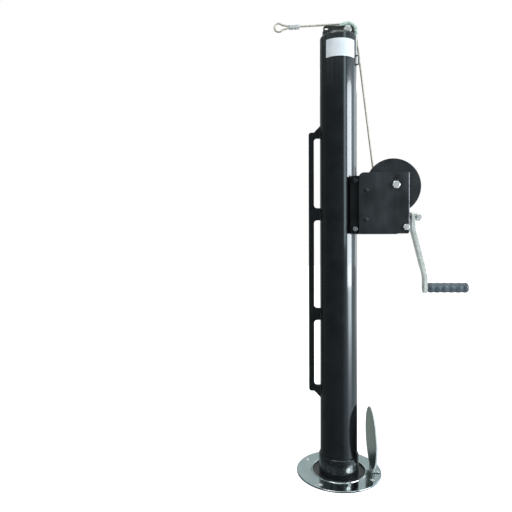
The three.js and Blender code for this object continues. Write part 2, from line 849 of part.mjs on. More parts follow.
function makeBracket() {
  const { bottom, top, reachBack, reachForward, innerHalf, outerHalf, webX } = bracket;
  const web = box([webX, -outerHalf, bottom], [webFront, outerHalf, top]);
  const corner = steel.plate;
  const outline = roundedRectangle(reachBack, bottom, webFront + reachForward, top, [corner, 0, 0, corner]);
  const leaves = [
    plateAcrossY(outline, -outerHalf, -innerHalf, 4),
    plateAcrossY(outline, innerHalf, outerHalf, 4),
  ];
  const boltHoles = boltHeights().map((z) => acrossHousing(boltM6.radius + gap, [bracket.boltX, z]));
  const rivetHoles = rivetHeights.map((z) => acrossHousing(bracket.rivet + gap, [bracket.rivetX, z]));
  const shaftPlace = [worm.y, worm.z];
  const shaftHole = bar("x", worm.bush + gap, webX - overrun, webFront + overrun, shaftPlace, smallSteps);
  return cut(join(web, ...leaves), ...boltHoles, ...rivetHoles, shaftHole);
}

// A round hole through both sides of the housing.
function acrossHousing(radius, place) {
  return bar("y", radius, -side.outer - overrun, side.outer + overrun, place, smallSteps);
}

function makeSidePlate(end) {
  const { left, right, bottom, top, cornerTop, cornerBottom, inner, outer } = side;
  const outline = roundedRectangle(left, bottom, right, top, [0, cornerBottom, 0, cornerTop]);
  const body = end < 0 ? plateAcrossY(outline, -outer, -inner, 6) : plateAcrossY(outline, inner, outer, 6);
  const rivetHoles = rivetHeights.map((z) => acrossHousing(bracket.rivet + gap, [bracket.rivetX, z]));
  const axleHole = acrossHousing(boltM10.radius + gap, [reel.x, reel.z]);
  const accessHole = acrossHousing(side.accessHole, [reel.x, reel.z + side.accessRise]);
  const spacerHole = acrossHousing(boltM8.radius + gap, [spacer.x, spacer.z]);
  return cut(body, ...rivetHoles, axleHole, accessHole, spacerHole);
}

// A rivet that holds a side plate on the bracket's leaf, with a head at each end.
function makeSideRivet(end, z) {
  const { rivet, rivetHead, rivetHeight, innerHalf, rivetX } = bracket;
  const low = innerHalf - gap;
  const high = side.outer + gap;
  const profile = [
    [0, end * (low - rivetHeight)],
    [rivetHead, end * (low - rivetHeight)],
    [rivetHead, end * low],
    [rivet, end * low],
    [rivet, end * high],
    [rivetHead, end * high],
    [rivetHead * domeShares.shoulder, end * (high + rivetHeight * domeShares.shoulder)],
    [0, end * (high + rivetHeight)],
  ];
  return turned("y", profile, [rivetX, z], smallSteps);
}

function makeBearingPlate() {
  const width = side.inner - gap;
  const { bearingX: start, bearingDrop, bearingRise } = worm;
  const end = start + steel.plate;
  const body = box([start, -width, worm.z - bearingDrop], [end, width, worm.z + bearingRise]);
  const shaftPlace = [worm.y, worm.z];
  const shaftHole = bar("x", worm.bush + gap, start - overrun, end + overrun, shaftPlace, smallSteps);
  const flangeFront = reel.flangeBack - reel.flangeThickness;
  const flangeRoom = reel.flange + overrun / 2;
  const notch = bar("y", flangeRoom, flangeFront - overrun, reel.flangeBack + overrun, reelPlace, wideSteps);
  return cut(body, shaftHole, notch);
}

// A flanged bush for the worm's shaft, with its flange past the outer face.
function makeWormBush(from, face) {
  const { shaft, bush, bushFlange, bushFlangeThickness } = worm;
  const bore = shaft + gap;
  const profile = [
    [bore, from],
    [bush, from],
    [bush, face + gap],
    [bushFlange, face + gap],
    [bushFlange, face + gap + bushFlangeThickness],
    [bore, face + gap + bushFlangeThickness],
    [bore, from],
  ];
  return turned("x", profile, [worm.y, worm.z], smallSteps);
}

piece("winch_bracket", makeBracket(), satinBlack);
boltHeights().forEach((z, i) => {
  const place = [bracket.boltX, z];
  piece(`bracket_bolt_${i + 1}`, boltAcrossY(boltM6, -bracket.outerHalf, bracket.outerHalf, place), zinc);
  piece(`bracket_nut_${i + 1}`, nutAcrossY(boltM6, bracket.outerHalf, place), zinc);
});
const housingSides = { front: -1, rear: 1 };
for (const [name, end] of Object.entries(housingSides)) {
  piece(`winch_${name}_plate`, makeSidePlate(end), satinBlack);
  rivetHeights.forEach((z, i) => piece(`${name}_plate_rivet_${i + 1}`, makeSideRivet(end, z), satinBlack));
}
const spacerPlace = [spacer.x, spacer.z];
const spacerHalf = side.inner - gap;
const spacerSize = [boltM8.radius + gap, spacer.radius, -spacerHalf, spacerHalf];
piece("spacer_tube", ring("y", ...spacerSize, spacerPlace, smallSteps), satinBlack);
piece("spacer_bolt", boltAcrossY(boltM8, -side.outer, side.outer, spacerPlace), brightSteel);
piece("spacer_nut", nutAcrossY(boltM8, side.outer, spacerPlace), brightSteel);
piece("worm_bearing_plate", makeBearingPlate(), satinBlack);
piece("worm_bush_inner", makeWormBush(bracket.webX + gap, webFront), bronze);
piece("worm_bush_outer", makeWormBush(worm.bearingX, worm.bearingX + steel.plate), bronze);

// Reel: a drum with one flange; the worm wheel closes its other end
function ringOfPlaces(count, radius, [x, z]) {
  return Array.from({ length: count }, (_, i) => {
    const angle = ((i + screwTurnShare) * full) / count;
    return [x + radius * Math.cos(angle), z + radius * Math.sin(angle)];
  });
}
const wheelScrewPlaces = ringOfPlaces(4, wheelScrew.circle, reelPlace);
const wheelFront = reel.drumEnd + gap;
const wheelBack = wheelFront + gear.face;

function makeReel() {
  const { drum, wall, hub, flange, flangeThickness, bushRadius, flangeBack, drumEnd, hubHalf } = reel;
  const bore = bushRadius + gap;
  const flangeFront = flangeBack - flangeThickness;
  const edge = reel.flangeEdge;
  const profile = [
    [bore, -hubHalf],
    [hub, -hubHalf],
    [hub, flangeFront],
    [flange - edge, flangeFront],
    [flange, flangeFront + edge],
    [flange, flangeBack - edge],
    [flange - edge, flangeBack],
    [drum, flangeBack],
    [drum, drumEnd],
    [hub, drumEnd],
    [hub, hubHalf],
    [bore, hubHalf],
    [bore, -hubHalf],
  ];
  const hollow = ring("y", hub, drum - wall, flangeBack, drumEnd - wall, reelPlace);
  const vents = ringOfPlaces(4, reel.ventCircle, reelPlace).map((place) => {
    return bar("y", reel.vent, flangeFront - overrun, flangeBack + overrun, place, smallSteps);
  });
  const screwHoles = wheelScrewPlaces.map((place) => {
    return bar("y", wheelScrew.radius + gap, drumEnd - wall - overrun, drumEnd + overrun, place, smallSteps);
  });
  return cut(turned("y", profile, reelPlace, wideSteps), hollow, ...vents, ...screwHoles);
}

// A flanged bush in the reel's hub, with its flange against a side plate.
function makeReelBush(end) {
  const { hubHalf, bushLength, bushRadius, bushFlange, bushFlangeThickness } = reel;
  const bore = boltM10.radius + gap;
  const profile = [
    [bore, end * (hubHalf - bushLength)],
    [bushRadius, end * (hubHalf - bushLength)],
    [bushRadius, end * (hubHalf + gap)],
    [bushFlange, end * (hubHalf + gap)],
    [bushFlange, end * (hubHalf + gap + bushFlangeThickness)],
    [bore, end * (hubHalf + gap + bushFlangeThickness)],
    [bore, end * (hubHalf - bushLength)],
  ];
  return turned("y", profile, reelPlace, smallSteps);
}

// Worm wheel: involute teeth, set askew by the worm's lead angle
function involute(angle) {
  return Math.tan(angle) - angle;
}

function wheelOutline() {
  const { teeth, module, wheelRadius, pressureAngle, pitch, backlash } = gear;
  const base = wheelRadius * Math.cos(pressureAngle);
  const root = wheelRadius - gear.dedendumShare * module;
  const tip = wheelRadius + gear.addendumShare * module;
  const halfAtPitch = (pitch / 2 - backlash) / 2 / wheelRadius;
  const halfTooth = (radius) => {
    return halfAtPitch + involute(pressureAngle) - involute(Math.acos(Math.min(1, base / radius)));
  };
  const flank = [root, wheelRadius, tip];
  const points = [];
  for (let tooth = 0; tooth < teeth; tooth++) {
    const middle = -Math.PI / 2 + (tooth * full) / teeth;
    const rising = flank.map((radius) => [radius, middle - halfTooth(radius)]);
    const falling = flank.map((radius) => [radius, middle + halfTooth(radius)]).reverse();
    for (const [radius, angle] of [...rising, ...falling]) {
      points.push(new THREE.Vector2(reel.x + radius * Math.cos(angle), reel.z + radius * Math.sin(angle)));
    }
  }
  return new THREE.Shape(points);
}

function makeWormWheel() {
  const blank = geometryOf(plateAcrossY(wheelOutline(), wheelFront, wheelBack));
  const lead = gear.pitch / (full * gear.wormRadius);
  const places = blank.getAttribute("position");
  for (let i = 0; i < places.count; i++) {
    const turn = ((places.getY(i) - worm.y) * lead) / gear.wheelRadius;
    const [x, z] = [places.getX(i) - reel.x, places.getZ(i) - reel.z];
    places.setX(i, reel.x + x * Math.cos(turn) + z * Math.sin(turn));
    places.setZ(i, reel.z - x * Math.sin(turn) + z * Math.cos(turn));
  }
  const bore = bar("y", reel.hub + gap, wheelFront - overrun, wheelBack + overrun, reelPlace);
  const dish = ring("y", reel.drum, gear.rimInside, wheelBack - gear.dish, wheelBack + overrun, reelPlace);
  const screwHoles = wheelScrewPlaces.map((place) => {
    return bar("y", wheelScrew.radius + gap, wheelFront - overrun, wheelBack + overrun, place, smallSteps);
  });
  return cut(solid(blank), bore, dish, ...screwHoles);
}

function makeWheelScrew(place) {
  const { radius, flats, head, grip: past } = wheelScrew;
  const shank = bar("y", radius, reel.drumEnd - past, wheelBack + gap + head, place, smallSteps);
  return join(shank, hexBar("y", flats, wheelBack + gap, wheelBack + gap + head, place));
}

// Worm: its section across the shaft is a cam that turns once in each pitch along the shaft
function wormSection() {
  const { pitch, pressureAngle, backlash, module, wormRadius } = gear;
  const root = wormRadius - gear.dedendumShare * module;
  const tip = wormRadius + gear.addendumShare * module;
  const halfAtPitch = (pitch / 2 - backlash) / 2;
  const slope = Math.tan(pressureAngle);
  const halfAtTip = halfAtPitch - (tip - wormRadius) * slope;
  const halfAtRoot = halfAtPitch + (wormRadius - root) * slope;
  const points = [];
  const stretch = (startPlace, endPlace, startRadius, endRadius, steps) => {
    for (let i = 0; i < steps; i++) {
      const share = i / steps;
      const angle = ((startPlace + (endPlace - startPlace) * share) / pitch) * full;
      const radius = startRadius + (endRadius - startRadius) * share;
      points.push(new THREE.Vector2(radius * Math.cos(angle), radius * Math.sin(angle)));
    }
  };
  stretch(-halfAtTip, halfAtTip, tip, tip, 3);
  stretch(halfAtTip, halfAtRoot, tip, root, 4);
  stretch(halfAtRoot, pitch - halfAtRoot, root, root, 3);
  stretch(pitch - halfAtRoot, pitch - halfAtTip, root, tip, 4);
  return new THREE.Shape(points);
}

function makeWormShaft() {
  const length = gear.wormTurns * gear.pitch;
  const start = reel.x - length / 2;
  const stepsPerTurn = 12;
  const steps = Math.round(gear.wormTurns * stepsPerTurn);
  const thread = new THREE.ExtrudeGeometry(wormSection(), { depth: length, steps, bevelEnabled: false });
  const places = thread.getAttribute("position");
  // The groove faces the wheel at the reel's centre line, where the wheel has a tooth.
  const atStart = 1.5 * Math.PI - (length / 2 / gear.pitch) * full;
  for (let i = 0; i < places.count; i++) {
    const turn = atStart + (places.getZ(i) / gear.pitch) * full;
    const [x, y] = [places.getX(i), places.getY(i)];
    places.setXY(i, x * Math.cos(turn) - y * Math.sin(turn), x * Math.sin(turn) + y * Math.cos(turn));
  }
  const screw = solid(thread.applyMatrix4(along.x).translate(start, worm.y, worm.z));
  const place = [worm.y, worm.z];
  const shoulder = crank.x - crank.thickness / 2 - gap;
  const squareEnd = crank.x + crank.thickness / 2;
  const half = crank.square / 2;
  const shaft = bar("x", worm.shaft, bracket.webX + gap, shoulder, place);
  const squareLow = [shoulder - overrun, worm.y - half, worm.z - half];
  const square = box(squareLow, [squareEnd, worm.y + half, worm.z + half]);
  const stubEnd = crank.nutX + crank.nutHeight + boltEnd;
  const stub = bar("x", crank.stub, squareEnd - overrun, stubEnd, place, smallSteps);
  return join(screw, shaft, square, stub);
}

// Crank: a flat bar with two bends, round at both ends
function crankPath() {
  const top = worm.z + crank.topReach;
  const bottom = worm.z - crank.throw - crank.bottomReach;
  const lowerX = crank.x + crank.offset;
  const place = (x, z) => new THREE.Vector3(x, 0, z);
  const corners = [
    place(crank.x, top),
    place(crank.x, worm.z - crank.straight),
    place(lowerX, worm.z - crank.throw + crank.lowerStraight),
    place(lowerX, bottom),
  ];
  return bentPath(corners, crank.bendRadius, 6);
}

function makeCrankArm() {
  const path = crankPath();
  const half = crank.thickness / 2;
  const offset = path.map((point, i) => {
    const ahead = path[Math.min(i + 1, path.length - 1)];
    const behind = path[Math.max(i - 1, 0)];
    const run = ahead.clone().sub(behind).normalize();
    return { point, across: new THREE.Vector2(-run.z, run.x) };
  });
  const edge = (reach) => offset.map(({ point, across }) => {
    return new THREE.Vector2(point.x + reach * across.x, point.z + reach * across.y);
  });
  const outline = new THREE.Shape([...edge(-half), ...edge(half).reverse()]);
  const width = crank.width / 2;
  const strip = plateAcrossY(outline, worm.y - width, worm.y + width);
  const top = worm.z + crank.topReach;
  const bottom = worm.z - crank.throw - crank.bottomReach;
  const corner = width - overrun;
  const front = roundedRectangle(worm.y - width, bottom, worm.y + width, top, [width, width, corner, corner]);
  const depth = crank.offset + crank.thickness + 2 * overrun;
  const made = new THREE.ExtrudeGeometry(front, { depth, bevelEnabled: false, curveSegments: 8 });
  const mask = solid(made.applyMatrix4(along.x).translate(crank.x - half - overrun, 0, 0));
  const room = crank.square / 2 + gap;
  const reach = crank.thickness;
  const low = [crank.x - reach, worm.y - room, worm.z - room];
  const squareHole = box(low, [crank.x + reach, worm.y + room, worm.z + room]);
  const lowerX = crank.x + crank.offset;
  const pinPlace = [worm.y, worm.z - crank.throw];
  const pinHole = bar("x", grip.pin + gap, lowerX - reach, lowerX + reach, pinPlace, smallSteps);
  return cut(strip.intersect(mask), squareHole, pinHole);
}

const crankNutEnd = crank.nutX + crank.nutHeight;
function makeCrankNut() {
  const place = [worm.y, worm.z];
  const nut = hexBar("x", crank.nutFlats, crank.nutX, crankNutEnd, place);
  const bore = bar("x", crank.stub + gap, crank.nutX - overrun, crankNutEnd + overrun, place, smallSteps);
  return cut(nut, bore);
}

// Hand grip: moulded with round ribs for the fingers, it turns on a pin riveted in the arm
const gripPlace = [worm.y, worm.z - crank.throw];
const pinTip = grip.start + grip.length - grip.pinInset;
function makeGripPin() {
  const inside = crank.x + crank.offset - crank.thickness / 2 - gap;
  const { pin, pinHead, pinHeadHeight } = grip;
  const profile = [
    [0, inside - pinHeadHeight],
    [pinHead * domeShares.shoulder, inside - pinHeadHeight * domeShares.shoulder],
    [pinHead, inside],
    [pin, inside],
    [pin, pinTip],
    [0, pinTip],
  ];
  return turned("x", profile, gripPlace, smallSteps);
}

function makeGrip() {
  const { start, length, radius, pin, bulges, bulgeDepth, endRound, borePastPin } = grip;
  const bore = pin + gap;
  const boreEnd = pinTip + borePastPin;
  const profile = [
    [0, boreEnd],
    [bore, boreEnd],
    [bore, start],
    [radius - bulgeDepth, start],
    [radius, start + bulgeDepth],
  ];
  const ribbed = length - 2 * endRound;
  const stepsPerBulge = 4;
  for (let i = 1; i <= bulges * stepsPerBulge; i++) {
    const wave = Math.abs(Math.cos((i / stepsPerBulge) * Math.PI));
    const place = start + endRound + (ribbed * i) / (bulges * stepsPerBulge);
    profile.push([radius - bulgeDepth * (1 - wave), place]);
  }
  const endSteps = 4;
  for (let i = 1; i < endSteps; i++) {
    const turn = (i / endSteps) * (Math.PI / 2);
    const fall = endRound * (1 - Math.cos(turn));
    profile.push([radius - fall, start + length - endRound + endRound * Math.sin(turn)]);
  }
  profile.push([radius - endRound, start + length], [0, start + length]);
  return turned("x", profile, gripPlace, 20);
}

piece("reel", makeReel(), satinBlack);
piece("reel_bush_front", makeReelBush(-1), bronze);
piece("reel_bush_rear", makeReelBush(1), bronze);
piece("worm_wheel", makeWormWheel(), castMetal);
wheelScrewPlaces.forEach((place, i) => piece(`wheel_screw_${i + 1}`, makeWheelScrew(place), zinc));
piece("reel_axle", boltAcrossY(boltM10, -side.outer, side.outer, reelPlace), brightSteel);
piece("reel_axle_nut", nutAcrossY(boltM10, side.outer, reelPlace), brightSteel);
piece("worm_shaft", makeWormShaft(), zinc);
piece("crank_arm", makeCrankArm(), zinc);
piece("crank_nut", makeCrankNut(), brightSteel);
piece("grip_pin", makeGripPin(), zinc);
piece("hand_grip", makeGrip(), gripPlastic);

// Net cable: wound on the drum, straight up to the pulley, over it and on to the net
const windingRadius = reel.drum + winding.clearance + cable.radius;
const toPulley = new THREE.Vector2(pulley.x - reel.x, pulley.z - reel.z);
const crossing = Math.acos((pulley.ropeRadius + windingRadius) / toPulley.length());
const leavesReel = toPulley.angle() + crossing;
const meetsPulley = leavesReel - Math.PI;
const leavesPulley = Math.PI / 2 + cable.slope;
const windingStart = reel.flangeBack + winding.clearance + cable.radius;
const windingEnd = windingStart + winding.turns * winding.pitch;

function aroundY(centre, radius, angle, y) {
  return new THREE.Vector3(centre.x + radius * Math.cos(angle), y, centre.z + radius * Math.sin(angle));
}

function cablePath() {
  const path = [];
  const turnSteps = winding.turns * winding.stepsPerTurn;
  for (let i = 0; i <= turnSteps; i++) {
    const angle = leavesReel + full * winding.turns * (1 - i / turnSteps);
    const y = windingStart + ((windingEnd - windingStart) * i) / turnSteps;
    path.push(aroundY(reel, windingRadius, angle, y));
  }
  const low = aroundY(reel, windingRadius, leavesReel, windingEnd);
  const high = aroundY(pulley, pulley.ropeRadius, meetsPulley, 0);
  const runSteps = 20;
  for (let i = 1; i <= runSteps; i++) path.push(low.clone().lerp(high, i / runSteps));
  const wrapSteps = 8;
  for (let i = 1; i <= wrapSteps; i++) {
    const angle = meetsPulley + ((leavesPulley - meetsPulley) * i) / wrapSteps;
    path.push(aroundY(pulley, pulley.ropeRadius, angle, 0));
  }
  return path;
}

// The least gap between parts of a path that are more than a few diameters apart along it.
function leastSelfGap(path, radius) {
  const apart = winding.pitch;
  const lengths = [0];
  for (let i = 1; i < path.length; i++) lengths.push(lengths[i - 1] + path[i].distanceTo(path[i - 1]));
  let least = Infinity;
  const line = new THREE.Line3();
  const nearest = new THREE.Vector3();
  for (let i = 0; i < path.length; i++) {
    for (let j = 0; j < path.length - 1; j++) {
      const back = Math.abs(lengths[i] - lengths[j]);
      const on = Math.abs(lengths[i] - lengths[j + 1]);
      if (Math.min(back, on) < apart) continue;
      line.set(path[j], path[j + 1]).closestPointToPoint(path[i], true, nearest);
      least = Math.min(least, nearest.distanceTo(path[i]));
    }
  }
  return least - 2 * radius;
}

const route = cablePath();
console.log("net cable: least gap to itself", leastSelfGap(route, cable.radius).toFixed(2), "mm");
piece("net_cable", tubeThrough(route, cable.radius, winding.sides), wireRope);

// The free tail: out of the pulley towards the net, with a swaged eye at its end
const tailRun = new THREE.Vector3(-Math.cos(cable.slope), 0, -Math.sin(cable.slope));
const tailStart = aroundY(pulley, pulley.ropeRadius, leavesPulley, 0).addScaledVector(tailRun, gap);
const alongTail = (distance) => tailStart.clone().addScaledVector(tailRun, distance);
const tailPath = Array.from({ length: 11 }, (_, i) => alongTail((cable.tailLength * i) / 10));
piece("cable_tail", tubeThrough(tailPath, cable.radius, 8), wireRope);

// A point beside the tail: a distance along it and a rise square to it.
function besideTail(distance, rise) {
  return alongTail(distance).add(new THREE.Vector3(-tailRun.z, 0, tailRun.x).multiplyScalar(-rise));
}

function makeFerrule() {
  const { length, radius, strandGap } = ferrule;
  const half = strandGap / 2;
  const start = cable.tailLength + gap;
  const outline = new THREE.Shape();
  outline.absarc(0, half, radius, 0, Math.PI, false);
  outline.absarc(0, -half, radius, Math.PI, full, false);
  const made = new THREE.ExtrudeGeometry(outline, {
    depth: length - 2 * ferrule.bevel,
    bevelThickness: ferrule.bevel,
    bevelSize: ferrule.bevel,
    bevelOffset: -ferrule.bevel,
    bevelSegments: 2,
    curveSegments: 8,
  });
  const [ahead, up] = [tailRun, new THREE.Vector3(tailRun.z, 0, -tailRun.x)];
  const place = new THREE.Matrix4().makeBasis(up.clone().cross(ahead), up, ahead);
  return solid(made.applyMatrix4(place).translate(...alongTail(start + ferrule.bevel).toArray()));
}

// The eye: the rope goes round in a teardrop, and both its ends enter the ferrule.
function makeEye() {
  const start = cable.tailLength + 2 * gap + ferrule.length;
  const half = ferrule.strandGap / 2;
  const { length, radius } = eye;
  const centre = start + length - radius;
  const touch = Math.acos((radius - half) / Math.hypot(length - radius, radius - half)) / 2;
  const path = [besideTail(start, half), besideTail(start + cable.radius, half)];
  const arcSteps = 14;
  const open = Math.PI - touch;
  for (let i = 0; i <= arcSteps; i++) {
    const angle = open - (2 * open * i) / arcSteps;
    path.push(besideTail(centre + radius * Math.cos(angle), radius * Math.sin(angle)));
  }
  path.push(besideTail(start + cable.radius, -half), besideTail(start, -half));
  return tubeThrough(path, cable.radius, 8);
}
piece("cable_ferrule", makeFerrule(), castMetal);
piece("cable_eye", makeEye(), wireRope);

export default part;
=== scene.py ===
import math

import bmesh
import bpy
from mathutils import Matrix, Vector


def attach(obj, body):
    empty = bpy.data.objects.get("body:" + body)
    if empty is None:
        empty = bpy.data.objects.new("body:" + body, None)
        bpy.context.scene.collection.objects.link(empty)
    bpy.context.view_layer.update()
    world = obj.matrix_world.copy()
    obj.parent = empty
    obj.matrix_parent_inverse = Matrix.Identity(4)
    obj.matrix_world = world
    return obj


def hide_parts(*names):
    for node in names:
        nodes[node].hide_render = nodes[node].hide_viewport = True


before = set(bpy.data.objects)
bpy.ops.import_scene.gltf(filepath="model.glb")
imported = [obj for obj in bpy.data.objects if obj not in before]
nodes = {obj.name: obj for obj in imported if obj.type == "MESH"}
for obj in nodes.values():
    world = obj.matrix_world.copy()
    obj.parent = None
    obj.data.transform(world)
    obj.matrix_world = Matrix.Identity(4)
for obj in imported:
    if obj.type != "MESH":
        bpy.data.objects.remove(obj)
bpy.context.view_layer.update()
MM = 0.001
FULL = 2 * math.pi
ORIGIN = (0, 0, 0)

# Sizes that the pieces share, in millimetres, as in the part's own source
TUBE = 44.45
BORE = TUBE - 3.2
TUBE_BOTTOM = -230
TUBE_TOP = 1043
PULLEY = Vector((20.7, 0, 1058.5))
ROPE_ON_PULLEY = 21.8
CABLE = 2.5
TAIL_SLOPE = math.radians(2.5)
TAIL_LENGTH = 112
REEL = Vector((125.5, 0, 687))
DRUM = 30.5
FLANGE_BACK = -25
WINDING_GAP = 0.8
WINDING_TURNS = 5.75
WINDING_PITCH = 5.95
CRANK_AXIS = (22, 617)
GRIP_AXIS = (22, 443)
TOUCH = 0.3
ROUND_TUBE = TUBE + TOUCH
CHEEK_FACE = 14
BRACKET_FACE = 48.75
SIDE_FACE = 53.05
BRACKET_BOLT_X = 33
BRACKET_BOLTS = (586, 698)
BOLT_END = 2.5
M10 = {"radius": 5, "flats": 16, "head": 6.4, "nut": 8, "pitch": 1.5}
M8 = {"radius": 4, "flats": 13, "head": 5.3, "nut": 6.5, "pitch": 1.25}
M6 = {"radius": 3, "flats": 10, "head": 4, "nut": 5, "pitch": 1.0}


# Short ways to make what the pieces, the finishes and the studio share
def placed(name, data):
    """A new object in the scene."""
    made = bpy.data.objects.new(name, data)
    bpy.context.scene.collection.objects.link(made)
    return made


def add_node(tree, kind, inputs, **settings):
    """A node with its settings made, and each input set to a value or linked to a socket."""
    made = tree.nodes.new(kind)
    for name, value in settings.items():
        setattr(made, name, value)
    for socket, value in inputs.items():
        if isinstance(value, bpy.types.NodeSocket):
            tree.links.new(value, made.inputs[socket])
        else:
            made.inputs[socket].default_value = value
    return made


def maths(tree, operation, first, second):
    return add_node(tree, "ShaderNodeMath", {0: first, 1: second}, operation=operation).outputs[0]


def mixed(tree, factor, first, second):
    inputs = {"Fac": factor, "Color1": first, "Color2": second}
    return add_node(tree, "ShaderNodeMixRGB", inputs).outputs["Color"]


def ranged(tree, value, start, end, low=0, high=1, kind="LINEAR"):
    """What lies from start to end is moved to low to high, and the rest is held at the ends."""
    inputs = {"Value": value, "From Min": start, "From Max": end, "To Min": low, "To Max": high}
    return add_node(tree, "ShaderNodeMapRange", inputs, interpolation_type=kind).outputs["Result"]


def ramped(tree, value, stops, interpolation="LINEAR"):
    """Colours over a value from 0 to 1, by stops of (position, colour)."""
    ramp = add_node(tree, "ShaderNodeValToRGB", {"Fac": value})
    ramp.color_ramp.interpolation = interpolation
    elements = ramp.color_ramp.elements
    while len(elements) < len(stops):
        elements.new(0.5)
    for element, (position, color) in zip(elements, stops):
        element.position = position
        element.color = (*color, 1)
    return ramp.outputs["Color"]


# Camera: nearly level, in front of the post and a little to its left
camera_data = bpy.data.cameras.new("camera")
camera_data.lens = 32.515
camera_data.sensor_width = 36
camera_data.shift_x = -0.035
camera_data.shift_y = -0.02
camera_data.clip_start = 0.02
camera = placed("camera", camera_data)
camera.location = (-0.1242, -1.1223, 0.5606)
camera.rotation_euler = (math.pi / 2 - 0.012, 0.003, 0.0284)
bpy.context.scene.camera = camera
bpy.context.scene.view_settings.view_transform = "Standard"


# Finishes
class Finish:
    """A material with a Principled shader, and short ways to vary it over the piece."""

    def __init__(self, name, color, metallic, roughness, **sockets):
        self.material = bpy.data.materials.new(name)
        self.material.use_nodes = True
        self.tree = self.material.node_tree
        self.inputs = self.tree.nodes["Principled BSDF"].inputs
        self.place = self.tree.nodes.new("ShaderNodeTexCoord").outputs["Object"]
        uniform = {"Base Color": (*color, 1), "Metallic": metallic, "Roughness": roughness}
        for socket, value in (uniform | sockets).items():
            self.inputs[socket.replace("_", " ")].default_value = value

    def noise(self, scale, detail, stretch=None):
        """Noise over the object's coordinates, drawn out along the axes with a small stretch."""
        place = self.place
        if stretch:
            mapping = add_node(self.tree, "ShaderNodeMapping", {"Vector": place, "Scale": stretch})
            place = mapping.outputs["Vector"]
        inputs = {"Vector": place, "Scale": scale, "Detail": detail}
        return add_node(self.tree, "ShaderNodeTexNoise", inputs).outputs["Fac"]

    def color(self, value):
        self.tree.links.new(value, self.inputs["Base Color"])

    def rough(self, noise, low, high):
        """Roughness from low to high over the middle part of a noise."""
        self.tree.links.new(ranged(self.tree, noise, 0.3, 0.7, low, high), self.inputs["Roughness"])

    def bump(self, noise, strength, distance):
        inputs = {"Height": noise, "Strength": strength, "Distance": distance}
        made = add_node(self.tree, "ShaderNodeBump", inputs)
        self.tree.links.new(made.outputs["Normal"], self.inputs["Normal"])


def surface(name, uniform, relief, tint=None, stops=(), matt=None, matt_noise=None, **sockets):
    """A material from its colour, metallic and roughness, varied over noises of (scale, detail).

    relief is the bump's noise, strength and distance. tint is the noise that the stops colour.
    matt is the range of the roughness, over matt_noise, or over tint if there is none.
    """
    finish = Finish(name, *uniform, **sockets)
    if tint:
        patches = finish.noise(*tint)
        finish.color(ramped(finish.tree, patches, stops))
    if matt:
        finish.rough(finish.noise(*matt_noise) if matt_noise else patches, *matt)
    noise, strength, distance = relief
    finish.bump(finish.noise(*noise), strength, distance)
    return finish.material


def satin_powder(name, depth=1.0, highlight_from=None):
    """Satin black powder coat of fine texture, with dust that dulls parts of it.

    Its colours are multiplied by depth; a depth below 1 paints shade on a darker copy of the coat.
    Past its third argument, a distance along x in metres, a grey painted highlight is laid on the
    coat: the light that the plate's edge catches.
    """
    paint = Finish(name, (0.018, 0.0195, 0.0215), 0, 0.42, Specular_IOR_Level=0.32)
    tree = paint.tree
    patches = paint.noise(16, 5)
    dusty = maths(tree, "MULTIPLY", patches, paint.noise(60, 4, (1, 1, 0.15)))
    # A depth below 1 darkens these stops, which paints shade on the coat.
    dark = [depth * part for part in (0.01, 0.012, 0.0135)]
    dusted = [depth * part for part in (0.025, 0.0285, 0.032)]
    color = ramped(tree, dusty, [(0.14, dark), (0.42, dusted)])
    if highlight_from is not None:
        # Past that distance along x, a grey painted highlight, broken up by noise, is mixed into the
        # coat.
        along = add_node(tree, "ShaderNodeSeparateXYZ", {"Vector": paint.place}).outputs["X"]
        at_edge = ranged(tree, along, highlight_from, highlight_from + 0.0006)
        highlight_patches = ranged(tree, paint.noise(150, 4), 0.36, 0.56, 0.45, 1)
        color = mixed(tree, maths(tree, "MULTIPLY", at_edge, highlight_patches), color, (0.33, 0.345, 0.38, 1))
    paint.color(color)
    paint.rough(patches, 0.32, 0.5)
    paint.bump(paint.noise(1500, 2), 0.16, 0.00025)
    return paint.material


SATIN = satin_powder("satin_powder")
# The bracket has the same coat darkened to 0.3: painted shade.
SHADED_BRACKET = satin_powder("bracket_powder_painted_shade", 0.3)
# The side plates, with that painted highlight along their right edge.
SIDE_PLATE = satin_powder("side_plate_powder", 1.0, 0.1548)

# Glossy black enamel: a faint orange peel, and smears left by wiping
GLOSS = surface(
    "gloss_enamel",
    ((0.009, 0.0105, 0.0115), 0, 0.2),
    relief=((420, 2), 0.05, 0.0004),
    tint=(34, 6),
    stops=[(0.35, (0.0075, 0.0088, 0.0096)), (0.75, (0.0125, 0.0145, 0.0155))],
    matt=(0.11, 0.26),
    matt_noise=(5, 4, (1, 1, 0.25)),
    Coat_Weight=0.9,
    Coat_IOR=1.6,
    Coat_Roughness=0.06,
)

# The cap's enamel over a rough casting: the same black, more uneven
CAP = surface(
    "cap_enamel",
    ((0.013, 0.0145, 0.015), 0, 0.26),
    relief=((300, 4), 0.3, 0.0006),
    tint=(130, 5),
    stops=[(0.32, (0.0105, 0.012, 0.0118)), (0.72, (0.03, 0.035, 0.03))],
    matt=(0.2, 0.42),
    Coat_Weight=0.3,
    Coat_Roughness=0.1,
)

# The collar's enamel over a sand casting, which breaks up the shine
COLLAR = surface(
    "collar_enamel",
    ((0.011, 0.0125, 0.0135), 0, 0.22),
    relief=((150, 4), 0.4, 0.0012),
    tint=(160, 5),
    stops=[(0.35, (0.0075, 0.009, 0.01)), (0.75, (0.018, 0.022, 0.0245))],
    matt=(0.14, 0.3),
    Coat_Weight=0.9,
    Coat_Roughness=0.05,
)

# Welds under the same enamel as the tube
WELD = surface(
    "weld_bead", ((0.013, 0.0145, 0.016), 0, 0.3), relief=((500, 3), 0.3, 0.0004), Coat_Weight=0.3
)

